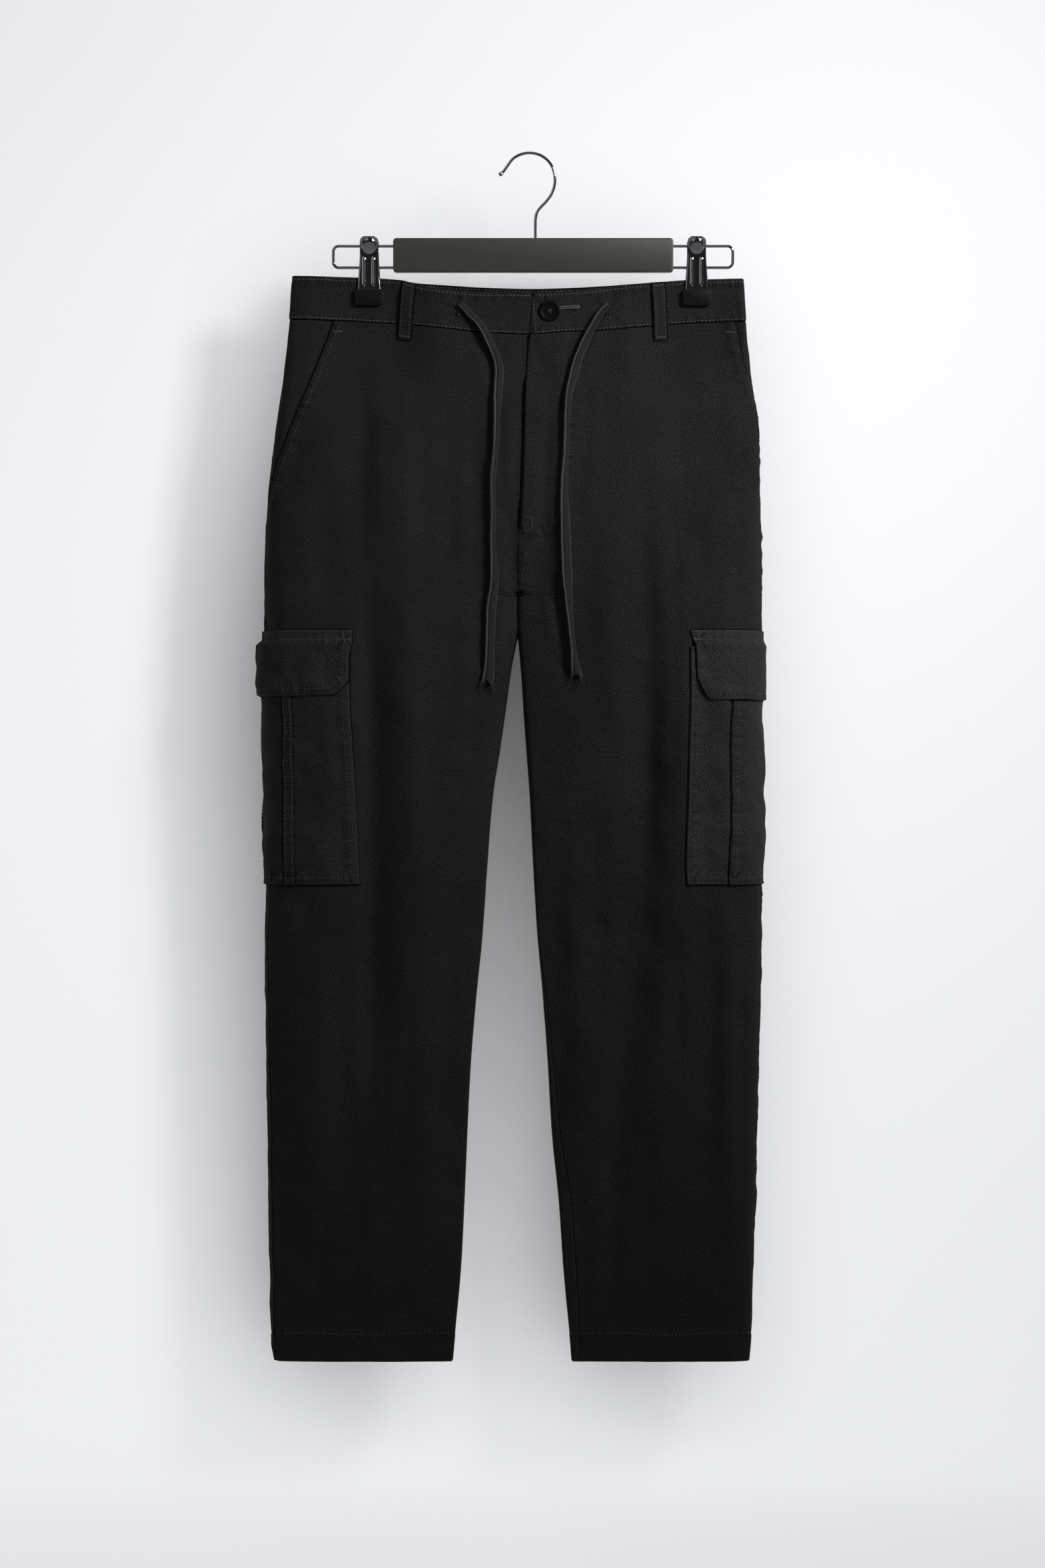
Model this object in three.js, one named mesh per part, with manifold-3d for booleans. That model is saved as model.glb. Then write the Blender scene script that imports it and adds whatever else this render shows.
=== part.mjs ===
// Cargo trousers hanging from a clip hanger.
// Millimetres, +Z up. The origin is the inner crest of the hanger's hook, the front faces -Y, and
// left and right are the wearer's own, so the right leg lies at -X.

import * as THREE from 'three';
import { mergeVertices } from 'three/addons/utils/BufferGeometryUtils.js';
import Module from 'manifold-3d';

const wasm = await Module();
wasm.setup();

// Cloth thicknesses and the gap that neighbouring pieces keep
const CLOTH = 1.2;
const HEM_CLOTH = 2.4;
const BAND_CLOTH = 1.9;
const BAND_PROUD = 0.5;
const SEAM_GAP = 0.3;
const HALF_GAP = SEAM_GAP / 2;

// Heights of the main lines of the garment, before the waist sags between the clips
const WAIST_TOP = -115;
const BAND_SEAM = -156;
const SLANT_END = -330;
const FACING_END = -314;
const CROTCH = -414.7;
const LEGS_PART = -444.7;
const FLAP_TOP = -447.2;
const POCKET_TOP = -463;
const POCKET_BOTTOM = -684;
const HEM_SEAM = -1104;
const HEM_BOTTOM = -1130.3;
const SAG_FADE = 150;

// Form of a cross-section: how high above the crotch the two legs have become one tube, how full
// its belly is, and how far from a side fold its creases, the clips' pinch and its depth begin
const CROTCH_RISE = 140;
const RISE_POWER = 1.3;
const BELLY_POWER = 3;
const CREASE_EDGE = 38;
const CREASE_FADE = 0.3;
const PINCH_EDGE = 10;
const SAG_DEPTH = 16;

// Where the two clips hold the band, and how flat they press it
const CLIP_RIGHT_X = -150.3;
const CLIP_LEFT_X = 156.6;
const PINCH_HALF_DEPTH = 3.1;
const PINCH_FLAT = 33;
const PINCH_FADE = 26;
const PINCH_DROP = 95;

// Slant pocket, cargo pocket, flap, fly and belt loop sizes
const SLANT_WIDTH = 42;
const SLANT_POWER = 0.9;
const SLANT_TUCK = 5;
const FACING_INSET = 4;
const FACING_PRESSED = 2;
const FACING_TAPER = 40;
const FACING_SHELVES = 0.85;
const FACING_SHARES = [0, 0.18, 0.34, 0.5, 0.66, 0.82, 1];
const POCKET_HALF_WIDTH = 82.5;
const POCKET_CLOTH = 2;
const PLEAT_PROUD = 0.9;
const PLEAT_WIDTH = 9;
const PLEAT_STEP = 0.12;
const FLAP_CLOTH = 1.8;
const FLAP_OVERHANG = 2.5;
const FLAP_SIDE = 0.12;
const FLAP_ROWS = [-454, -459.5, -486];
const FLY_PROUD = 0.8;
const FLY_WIDTH = 30;
const FLY_END = -356;
const LOOP_WIDTH = 12.5;
const LOOP_CLOTH = 1.5;
const LOOP_END = -170;

// Belt loop from top to bottom: height and how far its inner face stands off the cloth
const LOOP_STATIONS = [
  [WAIST_TOP, 1], [-119, 1], [-127, 2.3], [-142, 2.3], [BAND_SEAM, 1.4], [-163, 1], [LOOP_END, 0.8],
];

// Drawcord tape and button
const TAPE_WIDTH = 10.5;
const TAPE_THICK = 1.5;
const BUTTON_RADIUS = 10;
const BUTTON_THICK = 3;
const BUTTON_HOLE = 2;
const BUTTON_HOLE_OFF = 2.3;
const BUTTON_X = 18.7;
const BUTTON_ROW = -134;
const BUTTON_STAND = BAND_PROUD + SEAM_GAP + 0.1;
const TAPE_STEPS = 36;
const TAPE_EDGE = 0.8;

// Hanger
const WIRE = 2.8;
const BORE = 3.6;
const HOOK_RADIUS = 23.75;
const BAR_LENGTH = 262.5;
const BAR_HEIGHT = 31.7;
const BAR_DEPTH = 12;
const BAR_X = 3.45;
const BAR_Z = -94.85;
const STEM_X = 5.4;
const WIRE_TOP_Z = -86.1;
const WIRE_LOW_Z = -106.2;
const WIRE_END_RIGHT = -184;
const WIRE_END_LEFT = 190.5;
const WIRE_CORNER = 5;
const SOCKET_DEPTH = 14;
const PAD_WIDTH = 27;
const PAD_TOP = -127.8;
const PAD_BOTTOM = -142.5;
const PAD_FACE = 3.9;
const PAD_THICK = 4.2;
const PLATE_THICK = 1.2;
const PLATE_RIB = 0.6;
const PLATE_DIMPLE = 2.2;
const PLATE_DIMPLE_Z = -86.5;
const PLATE_DIMPLE_RADIUS = 6;
const PLATE_RIB_TOP = -96;
const PLATE_RIB_SHARE = 0.45;
const PAD_CORNER = 4;
const CORE_WIDTH = 12;
const CORE_DEPTH = 8.4;
const CORE_TOP = -81.5;
const CORE_BOTTOM = -111.5;
const BAR_CORNER = 3;
const BAR_BEVEL = 1.2;
const HOOK_BALL = 4.4;
const WIRE_SIDES = 8;

// Clip plate from head to foot: height, half width, and how far its inner face stands off
const PLATE_SECTIONS = [
  [-77.8, 5.2, 8.4], [-79.8, 7.8, 7.6], [-83, 8.75, 6.2], [-86.5, 8.75, 5.2], [-91, 8.75, 4.6],
  [-95.5, 8.8, 4.5], [-98, 8.9, 4.5], [-112, 9.8, 4.6], [-127.5, 11.2, 4.9],
];
const PLATE_COLUMNS = [-1, -0.62, -0.56, -0.34, -0.28, 0, 0.28, 0.34, 0.56, 0.62, 1];

// Centre line of the front and back, top to crotch
const CENTRE_LINE = [
  { z: -115, x: 5 },
  { z: -156, x: 1.2 },
  { z: -205, x: -2.2 },
  { z: -293, x: -4.7 },
  { z: -345, x: -7.2 },
  { z: -387, x: -10.9 },
  { z: -444.7, x: -10.9 },
];

// Edges of the waistband: top and seam heights in front, and the top and seam heights behind
const BAND_LINE = [
  { x: -226, top: -114.1, seam: -155.6, backTop: -114.1, backSeam: -155.6 },
  { x: -184, top: -115.4, seam: -157.2, backTop: -114.8, backSeam: -156.3 },
  { x: -150, top: -116.6, seam: -159.2, backTop: -115.6, backSeam: -157.4 },
  { x: -122, top: -118.6, seam: -161.2, backTop: -117.4, backSeam: -158.8 },
  { x: -105, top: -124.4, seam: -162.5, backTop: -118.9, backSeam: -160.0 },
  { x: -75, top: -128.8, seam: -165.6, backTop: -121.0, backSeam: -162.0 },
  { x: -42, top: -131.3, seam: -169.1, backTop: -123.0, backSeam: -163.8 },
  { x: 3, top: -131.5, seam: -170.9, backTop: -124.2, backSeam: -164.8 },
  { x: 37, top: -129.7, seam: -168.4, backTop: -123.4, backSeam: -164.0 },
  { x: 67, top: -126.9, seam: -167.2, backTop: -121.9, backSeam: -162.6 },
  { x: 97, top: -123.3, seam: -164.6, backTop: -119.9, backSeam: -160.8 },
  { x: 122, top: -121.3, seam: -162.7, backTop: -118.3, backSeam: -159.4 },
  { x: 157, top: -118.2, seam: -159.7, backTop: -116.9, backSeam: -158.0 },
  { x: 206, top: -116.6, seam: -157.2, backTop: -116.6, backSeam: -157.2 },
];

// Leg sections. outer and inner: x of the two side folds; front and back: how far the cloth
// stands off the middle plane; edge: radius of the folds; seam and inseam: how far ahead of the
// outer and the inner fold the two leg seams run.
const RIGHT_LEG = {
  name: 'right',
  turn: 1,
  sections: [
    { z: -115, outer: -222.5, inner: 5, front: 14, back: 14, edge: 4.5, seam: 3.5, inseam: 0 },
    { z: -156, outer: -225, inner: 1.2, front: 17, back: 17, edge: 6, seam: 3.5, inseam: 0 },
    { z: -205, outer: -230.3, inner: -2.2, front: 25, back: 26, edge: 9, seam: 3.5, inseam: 0 },
    { z: -262, outer: -238.4, inner: -4.1, front: 32, back: 34, edge: 12, seam: 3.5, inseam: 0 },
    { z: -324, outer: -245.3, inner: -6, front: 37, back: 40, edge: 14, seam: 4, inseam: 0 },
    { z: -387, outer: -248.4, inner: -10.9, front: 41, back: 44, edge: 17, seam: 7, inseam: 0 },
    { z: -444.7, outer: -248.4, inner: -10.9, front: 43, back: 45, edge: 19, seam: 10.5, inseam: 0 },
    { z: -480, outer: -248.4, inner: -16.6, front: 43, back: 45, edge: 19, seam: 11, inseam: 0 },
    { z: -543, outer: -247.9, inner: -25.3, front: 41, back: 43, edge: 19, seam: 12, inseam: 0 },
    { z: -605, outer: -245.8, inner: -34.6, front: 38, back: 40, edge: 18, seam: 13, inseam: 0 },
    { z: -668, outer: -245.9, inner: -39.7, front: 34, back: 36, edge: 17, seam: 14, inseam: 0 },
    { z: -730, outer: -248.3, inner: -44.1, front: 31, back: 33, edge: 15, seam: 13, inseam: 0 },
    { z: -793, outer: -247.8, inner: -50.3, front: 29, back: 30, edge: 14, seam: 13, inseam: 0.5 },
    { z: -855, outer: -246.6, inner: -55.3, front: 27, back: 28, edge: 13, seam: 12.5, inseam: 1 },
    { z: -918, outer: -245.9, inner: -58.4, front: 24, back: 25, edge: 12, seam: 12, inseam: 2 },
    { z: -980, outer: -244.7, inner: -60.9, front: 21, back: 22, edge: 11, seam: 11, inseam: 3 },
    { z: -1043, outer: -243.4, inner: -64.1, front: 18, back: 18, edge: 10, seam: 10, inseam: 4.5 },
    { z: -1104, outer: -242.2, inner: -69.7, front: 15, back: 15, edge: 8, seam: 8, inseam: 6 },
    { z: -1130.3, outer: -239.4, inner: -72, front: 14, back: 14, edge: 7, seam: 6.5, inseam: 6.5 },
  ],
};

const LEFT_LEG = {
  name: 'left',
  turn: -1,
  sections: [
    { z: -115, outer: 200.5, inner: 5, front: 14, back: 14, edge: 4.5, seam: -28, inseam: 0 },
    { z: -156, outer: 203, inner: 1.2, front: 17, back: 17, edge: 6, seam: -28, inseam: 0 },
    { z: -205, outer: 207.6, inner: -2.2, front: 25, back: 26, edge: 9, seam: -22, inseam: 0 },
    { z: -262, outer: 215, inner: -4.1, front: 32, back: 34, edge: 12, seam: -22, inseam: 0 },
    { z: -324, outer: 216.4, inner: -6, front: 37, back: 40, edge: 14, seam: -18, inseam: 0 },
    { z: -387, outer: 217.9, inner: -10.9, front: 41, back: 44, edge: 17, seam: -10, inseam: 0 },
    { z: -444.7, outer: 217.8, inner: -10.9, front: 43, back: 45, edge: 19, seam: -3, inseam: 0 },
    { z: -480, outer: 215.8, inner: -8.4, front: 43, back: 45, edge: 19, seam: -3, inseam: 0 },
    { z: -543, outer: 215.9, inner: -4.2, front: 41, back: 43, edge: 19, seam: -3, inseam: 0 },
    { z: -605, outer: 216.4, inner: 0.3, front: 38, back: 40, edge: 18, seam: -2.5, inseam: 6 },
    { z: -668, outer: 217, inner: 3.4, front: 34, back: 36, edge: 17, seam: -1.5, inseam: 18 },
    { z: -730, outer: 217.8, inner: 7.2, front: 31, back: 33, edge: 15, seam: 4, inseam: 22.5 },
    { z: -793, outer: 216.6, inner: 12.8, front: 29, back: 30, edge: 14, seam: 7, inseam: 23.5 },
    { z: -855, outer: 214.7, inner: 17.2, front: 27, back: 28, edge: 13, seam: 4, inseam: 24.5 },
    { z: -918, outer: 213.4, inner: 20.9, front: 24, back: 25, edge: 12, seam: 0, inseam: 25.5 },
    { z: -980, outer: 211.6, inner: 27.2, front: 21, back: 22, edge: 11, seam: -3, inseam: 27 },
    { z: -1043, outer: 209.7, inner: 31.6, front: 18, back: 18, edge: 10, seam: -3, inseam: 25.5 },
    { z: -1104, outer: 207.8, inner: 37.2, front: 15, back: 15, edge: 8, seam: -3, inseam: 20 },
    { z: -1130.3, outer: 206.4, inner: 39.7, front: 14, back: 14, edge: 7, seam: -3, inseam: 17 },
  ],
};

// The largest folds: the line of each from top to bottom, its half width and how far it stands out
const FOLDS = [
  { face: 'front', x0: -158, z0: -150, x1: -160, z1: -420, width: 20, out: -5 },
  { face: 'front', x0: -192, z0: -280, x1: -188, z1: -450, width: 15, out: -4 },
  { face: 'front', x0: -132, z0: -200, x1: -112, z1: -640, width: 20, out: 4 },
  { face: 'front', x0: -143, z0: -400, x1: -142, z1: -900, width: 15, out: -6 },
  { face: 'front', x0: -100, z0: -560, x1: -98, z1: -1060, width: 24, out: 4 },
  { face: 'front', x0: -205, z0: -700, x1: -196, z1: -1080, width: 18, out: 2.5 },
  { face: 'front', x0: 76, z0: -290, x1: 78, z1: -560, width: 15, out: 4 },
  { face: 'front', x0: 112, z0: -400, x1: 88, z1: -1060, width: 19, out: -7 },
  { face: 'front', x0: 150, z0: -170, x1: 146, z1: -440, width: 18, out: -4.5 },
  { face: 'front', x0: 140, z0: -430, x1: 150, z1: -860, width: 14, out: 4.5 },
  { face: 'front', x0: 183, z0: -330, x1: 188, z1: -1060, width: 15, out: 4 },
  { face: 'front', x0: 40, z0: -620, x1: 52, z1: -1020, width: 16, out: 3 },
  { face: 'back', x0: -152, z0: -150, x1: -148, z1: -430, width: 20, out: -5 },
  { face: 'back', x0: -100, z0: -210, x1: -104, z1: -680, width: 22, out: 4.5 },
  { face: 'back', x0: -136, z0: -460, x1: -150, z1: -1000, width: 18, out: -6 },
  { face: 'back', x0: -186, z0: -560, x1: -180, z1: -1060, width: 16, out: 3 },
  { face: 'back', x0: -40, z0: -330, x1: -60, z1: -560, width: 14, out: -4 },
  { face: 'back', x0: 154, z0: -150, x1: 150, z1: -440, width: 20, out: -5 },
  { face: 'back', x0: 100, z0: -220, x1: 110, z1: -720, width: 22, out: 4 },
  { face: 'back', x0: 138, z0: -500, x1: 120, z1: -1050, width: 18, out: -6 },
  { face: 'back', x0: 66, z0: -640, x1: 84, z1: -1040, width: 18, out: 3.5 },
  { face: 'back', x0: 24, z0: -330, x1: 46, z1: -560, width: 14, out: -4 },
];

// Grid of each leg: rows down the leg, and columns as arc lengths from the side seam, the last
// group as shares of the cloth that is left up to the centre line or the inseam
const ROWS = [
  WAIST_TOP, -127, -142, BAND_SEAM, -176, -208, -244, -284, SLANT_END, -360, -385, -400,
  -409, CROTCH, -430, FLAP_TOP, POCKET_TOP, -486, -510, -552, -596, -640, POCKET_BOTTOM,
  -735, -790, -850, -915, -980, -1045, HEM_SEAM, HEM_BOTTOM,
];
const BAND_ROWS = 3;
const SIDE_STEPS = [0, 8, 17, 28, 42, 55, 69, POCKET_HALF_WIDTH];
const INNER_SHARES = [0.16, 0.32, 0.48, 0.64, 0.79, 0.9, 1];
const SIDE_COLUMNS = SIDE_STEPS.length - 1;
const COLUMNS = SIDE_COLUMNS + INNER_SHARES.length;
const FOLD_COLUMNS = 3;
const RING_STEPS = 240;

const clamp = (value) => Math.min(1, Math.max(0, value));
const mix = (a, b, share) => a + (b - a) * share;
const ease = (value) => clamp(value) ** 2 * (3 - 2 * clamp(value));

// Smooth reading of one column of a table whose rows run along a key, with no overshoot
function readTable(table, key, column, at) {
  const last = table.length - 1;
  const rising = table[last][key] > table[0][key] ? 1 : -1;
  const reached = (row) => (at - row[key]) * rising >= 0;
  if (!reached(table[0])) return table[0][column];
  if (reached(table[last])) return table[last][column];
  const index = table.findIndex((row, i) => reached(row) && !reached(table[i + 1]));
  const rise = (i, name) => table[i + 1][name] - table[i][name];
  const slopeAfter = (i) => rise(i, column) / rise(i, key);
  const slopeAt = (i) => {
    if (i === 0) return slopeAfter(0);
    if (i === last) return slopeAfter(last - 1);
    const before = slopeAfter(i - 1);
    const after = slopeAfter(i);
    return before * after <= 0 ? 0 : (2 * before * after) / (before + after);
  };
  const a = table[index];
  const b = table[index + 1];
  const span = b[key] - a[key];
  const t = (at - a[key]) / span;
  const curveA = (1 + 2 * t) * (1 - t) ** 2 * a[column] + t * (1 - t) ** 2 * span * slopeAt(index);
  const curveB = t * t * (3 - 2 * t) * b[column] + t * t * (t - 1) * span * slopeAt(index + 1);
  return curveA + curveB;
}

// How much of the crotch is joined at a height: 0 in the legs, 1 where the hips are one tube
const joined = (z) => clamp((z - CROTCH) / CROTCH_RISE) ** RISE_POWER;

function pinch(x, z) {
  const nearest = Math.min(Math.abs(x - CLIP_RIGHT_X), Math.abs(x - CLIP_LEFT_X));
  const across = 1 - ease((nearest - PINCH_FLAT) / PINCH_FADE);
  const down = 1 - ease((BAND_SEAM - z) / PINCH_DROP);
  return across * down;
}

function foldDepth(face, x, z) {
  let depth = 0;
  for (const fold of FOLDS) {
    if (fold.face !== face || z > fold.z0 || z < fold.z1) continue;
    const t = (z - fold.z0) / (fold.z1 - fold.z0);
    const window = ease(t / CREASE_FADE) * ease((1 - t) / CREASE_FADE);
    const off = (x - mix(fold.x0, fold.x1, t)) / fold.width;
    depth += fold.out * window * Math.exp(-off * off);
  }
  return depth;
}

// Height of the cloth at a point: the waist sags between the clips, less and less down to the hips
function sagged(face, x, z) {
  const top = readTable(BAND_LINE, 'x', face === 'front' ? 'top' : 'backTop', x) - WAIST_TOP;
  const seam = readTable(BAND_LINE, 'x', face === 'front' ? 'seam' : 'backSeam', x) - BAND_SEAM;
  const share = clamp((z - BAND_SEAM) / (WAIST_TOP - BAND_SEAM));
  const fade = 1 - ease((BAND_SEAM - z) / SAG_FADE);
  return z + mix(seam, top, share) * fade;
}

// Half section of a leg at a height, from the outer fold to the inner one, with arc lengths
function halfSection(leg, face, z) {
  const read = (column) => readTable(leg.sections, 'z', column, z);
  const shift = z >= LEGS_PART ? HALF_GAP : 0;
  const outer = read('outer');
  const inner = (z >= LEGS_PART ? readTable(CENTRE_LINE, 'z', 'x', z) : read('inner')) - leg.turn * shift;
  const edge = read('edge');
  const depth = read(face);
  const width = Math.abs(inner - outer);
  const join = joined(z);
  const round = (distance) => Math.sqrt(1 - (1 - clamp(distance / edge)) ** 2);
  const points = [];
  let arc = 0;
  for (let i = 0; i <= RING_STEPS; i += 1) {
    const share = ((1 + join) / 2) * (1 - Math.cos((Math.PI * i) / RING_STEPS));
    const x = outer + leg.turn * share * width;
    const toOuter = share * width;
    const toInner = (1 + join - share) * width;
    const belly = 1 - Math.abs(1 - (2 * share) / (1 + join)) ** BELLY_POWER;
    let y = edge * round(toOuter) * round(toInner) + (depth - edge) * belly;
    y += foldDepth(face, x, z) * ease(Math.min(toOuter, toInner) / CREASE_EDGE);
    y = mix(y, PINCH_HALF_DEPTH, pinch(x, z) * ease(toOuter / PINCH_EDGE));
    const previous = points[points.length - 1];
    if (previous) arc += Math.hypot(x - previous.x, y - previous.y);
    points.push({ x, y, arc });
  }
  if (join === 0) return { points, end: arc, length: arc };
  const seamIndex = points.findIndex((point) => (point.x - inner) * leg.turn >= 0);
  const after = points[seamIndex];
  const before = points[seamIndex - 1];
  const share = (inner - before.x) / (after.x - before.x);
  return { points, end: mix(before.arc, after.arc, share), length: arc };
}

const sectionCache = new Map();

function section(leg, z) {
  const key = `${leg.name} ${z}`;
  if (!sectionCache.has(key)) {
    const front = halfSection(leg, 'front', z);
    const back = halfSection(leg, 'back', z);
    const seam = readTable(leg.sections, 'z', 'seam', z);
    const inseam = z > CROTCH ? 0 : readTable(leg.sections, 'z', 'inseam', z);
    const [frontEnd, backEnd] = [front.end - inseam, back.end + inseam];
    sectionCache.set(key, { front, back, seam, frontEnd, backEnd });
  }
  return sectionCache.get(key);
}

// Point of the cloth's outer face at a height and an arc length ahead of the outer fold;
// negative arc lengths run round the back
function clothPoint(leg, z, arc) {
  const ring = section(leg, z);
  let face = arc >= 0 ? 'front' : 'back';
  let along = Math.abs(arc);
  if (along > ring[face].length) {
    along = 2 * ring[face].length - along;
    const other = face === 'front' ? 'back' : 'front';
    along = Math.min(ring[other].length, along + ring[other].length - ring[face].length);
    face = other;
  }
  const { points } = ring[face];
  let low = 0;
  let high = points.length - 1;
  while (high - low > 1) {
    const middle = Math.floor((low + high) / 2);
    if (points[middle].arc > along) high = middle;
    else low = middle;
  }
  const share = clamp((along - points[low].arc) / (points[high].arc - points[low].arc || 1));
  const x = mix(points[low].x, points[high].x, share);
  const y = mix(points[low].y, points[high].y, share);
  const depth = face === 'front' ? -y : y;
  const behind = clamp(0.5 + depth / (2 * SAG_DEPTH));
  return new THREE.Vector3(x, depth, mix(sagged('front', x, z), sagged('back', x, z), behind));
}

// Outward direction of the cloth at the same place
function clothNormal(leg, z, arc) {
  const step = 1.5;
  const above = Math.min(WAIST_TOP, z + step);
  const below = Math.max(HEM_BOTTOM, z - step);
  const across = clothPoint(leg, z, arc + step).sub(clothPoint(leg, z, arc - step));
  const down = clothPoint(leg, below, arc).sub(clothPoint(leg, above, arc));
  return across.cross(down).multiplyScalar(-leg.turn).normalize();
}

const arcOfColumn = (leg, z, column) => {
  const ring = section(leg, z);
  const away = Math.abs(column);
  const total = column >= 0 ? ring.frontEnd - ring.seam : ring.backEnd + ring.seam;
  const low = Math.floor(away);
  const stepAt = (i) => {
    if (i <= SIDE_COLUMNS) return SIDE_STEPS[i];
    return mix(POCKET_HALF_WIDTH, total, INNER_SHARES[i - SIDE_COLUMNS - 1]);
  };
  const distance = low >= COLUMNS ? total : mix(stepAt(low), stepAt(low + 1), away - low);
  return ring.seam + Math.sign(column) * distance;
};

const legGrid = (leg) => ROWS.map((z) => {
  const row = new Map();
  for (let column = -COLUMNS; column <= COLUMNS; column += 1) {
    const arc = arcOfColumn(leg, z, column);
    row.set(column, { point: clothPoint(leg, z, arc), normal: clothNormal(leg, z, arc) });
  }
  return row;
});

const LEGS = [RIGHT_LEG, LEFT_LEG];
for (const leg of LEGS) leg.grid = legGrid(leg);

// Place on the faceted cloth at a nominal height and a column, either of them between grid lines,
// moved out by a distance
function onCloth(leg, z, column, out) {
  const row = ROWS.findIndex((height, i) => z <= height && z >= ROWS[i + 1]);
  const down = (ROWS[row] - z) / (ROWS[row] - ROWS[row + 1]);
  const left = Math.min(COLUMNS - 1, Math.floor(column));
  const across = column - left;
  const corner = (i, j) => leg.grid[row + i].get(left + j);
  const weights = down + across <= 1
    ? [[corner(0, 0), 1 - down - across], [corner(0, 1), across], [corner(1, 0), down]]
    : [[corner(1, 1), down + across - 1], [corner(0, 1), 1 - down], [corner(1, 0), 1 - across]];
  const point = new THREE.Vector3();
  const normal = new THREE.Vector3();
  for (const [place, weight] of weights) {
    point.addScaledVector(place.point, weight);
    normal.addScaledVector(place.normal, weight);
  }
  return point.addScaledVector(normal.normalize(), out);
}

// Column of the front or back at which the cloth reaches an x, at a nominal height
function columnAt(leg, face, z, x) {
  const direction = face === 'front' ? 1 : -1;
  for (let i = FOLD_COLUMNS; i < COLUMNS; i += 1) {
    const a = onCloth(leg, z, direction * i, 0).x;
    const b = onCloth(leg, z, direction * (i + 1), 0).x;
    if ((x - a) * (x - b) <= 0) return direction * (i + (x - a) / (b - a));
  }
  return direction * COLUMNS;
}

// Closed solids

function solidFrom(vertices, triangles) {
  const geometry = new THREE.BufferGeometry();
  const positions = new Float32Array(vertices.flatMap((v) => [v.x, v.y, v.z]));
  let volume = 0;
  for (const [a, b, c] of triangles) {
    volume += vertices[a].dot(new THREE.Vector3().crossVectors(vertices[b], vertices[c]));
  }
  const facing = volume < 0 ? triangles.map(([a, b, c]) => [a, c, b]) : triangles;
  geometry.setAttribute('position', new THREE.BufferAttribute(positions, 3));
  geometry.setIndex(facing.flat());
  return geometry;
}

// Wall between an outer and an inner grid of points
function wallBetween(outer, inner) {
  const rows = outer.length;
  const columns = outer[0].length;
  const inside = rows * columns;
  const at = (i, j) => i * columns + j;
  const triangles = [];
  const quad = (a, b, c, d) => triangles.push([a, c, b], [b, c, d]);
  const edge = (a, b) => quad(a, b, inside + a, inside + b);
  for (let i = 0; i < rows - 1; i += 1) {
    for (let j = 0; j < columns - 1; j += 1) {
      const [a, b, c, d] = [at(i, j), at(i, j + 1), at(i + 1, j), at(i + 1, j + 1)];
      quad(a, b, c, d);
      triangles.push([inside + a, inside + b, inside + c], [inside + b, inside + d, inside + c]);
    }
  }
  for (let j = 0; j < columns - 1; j += 1) {
    edge(at(0, j + 1), at(0, j));
    edge(at(rows - 1, j), at(rows - 1, j + 1));
  }
  for (let i = 0; i < rows - 1; i += 1) {
    edge(at(i, 0), at(i + 1, 0));
    edge(at(i + 1, columns - 1), at(i, columns - 1));
  }
  return solidFrom([...outer.flat(), ...inner.flat()], triangles);
}

// Tube through rings of points, closed at both ends
function tubeThrough(rings) {
  const sides = rings[0].length;
  const triangles = [];
  for (let i = 0; i < rings.length - 1; i += 1) {
    for (let j = 0; j < sides; j += 1) {
      const [a, b] = [i * sides + j, i * sides + ((j + 1) % sides)];
      triangles.push([a, b, a + sides], [b, b + sides, a + sides]);
    }
  }
  const last = (rings.length - 1) * sides;
  for (let j = 1; j < sides - 1; j += 1) {
    triangles.push([0, j + 1, j], [last, last + j, last + j + 1]);
  }
  return solidFrom(rings.flat(), triangles);
}

function toManifold(geometry) {
  const bare = geometry.clone();
  bare.deleteAttribute('normal');
  bare.deleteAttribute('uv');
  const merged = mergeVertices(bare, 1e-4);
  const vertProperties = new Float32Array(merged.attributes.position.array);
  const triVerts = new Uint32Array(merged.index.array);
  return new wasm.Manifold(new wasm.Mesh({ numProp: 3, vertProperties, triVerts }));
}

function fromManifold(solid) {
  const mesh = solid.getMesh();
  const geometry = new THREE.BufferGeometry();
  geometry.setAttribute('position', new THREE.BufferAttribute(new Float32Array(mesh.vertProperties), 3));
  geometry.setIndex([...mesh.triVerts]);
  return geometry;
}

// Materials
function plain(color, roughness, metalness) {
  return new THREE.MeshStandardMaterial({ color, roughness, metalness });
}
const twill = plain('#1d1e21', 0.85, 0);
const tapeCloth = plain('#212226', 0.8, 0);
const buttonResin = plain('#17181a', 0.4, 0);
const chrome = plain('#c9ccd0', 0.15, 1);
const barPlastic = plain('#4a4a44', 0.55, 0);
const rubber = plain('#15150f', 0.7, 0);

const group = new THREE.Group();

function add(name, geometry, material) {
  const mesh = new THREE.Mesh(geometry, material);
  mesh.name = name;
  group.add(mesh);
  return mesh;
}

// Moves a point towards a neighbour by half a seam's gap
const drawnBack = (point, neighbour) => {
  const way = neighbour.clone().sub(point);
  return point.clone().addScaledVector(way.normalize(), HALF_GAP);
};

// Opens the seam gap along the named sides of a grid; start and end tell it for each row
const never = () => false;
const always = () => true;

function opened(grid, { top = false, bottom = false, start = never, end = never }) {
  const copy = grid.map((row) => [...row]);
  const last = copy.length - 1;
  const side = copy[0].length - 1;
  if (top) copy[0] = grid[0].map((point, j) => drawnBack(point, grid[1][j]));
  if (bottom) copy[last] = grid[last].map((point, j) => drawnBack(point, grid[last - 1][j]));
  copy.forEach((row, i) => {
    if (start(i)) row[0] = drawnBack(row[0], row[1]);
    if (end(i)) row[side] = drawnBack(row[side], row[side - 1]);
  });
  return copy;
}

// How far ahead of the side seam the slant pocket's opening reaches at a height
const slantWidth = (z) => SLANT_WIDTH * clamp((z - SLANT_END) / (BAND_SEAM - SLANT_END)) ** SLANT_POWER;

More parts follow.
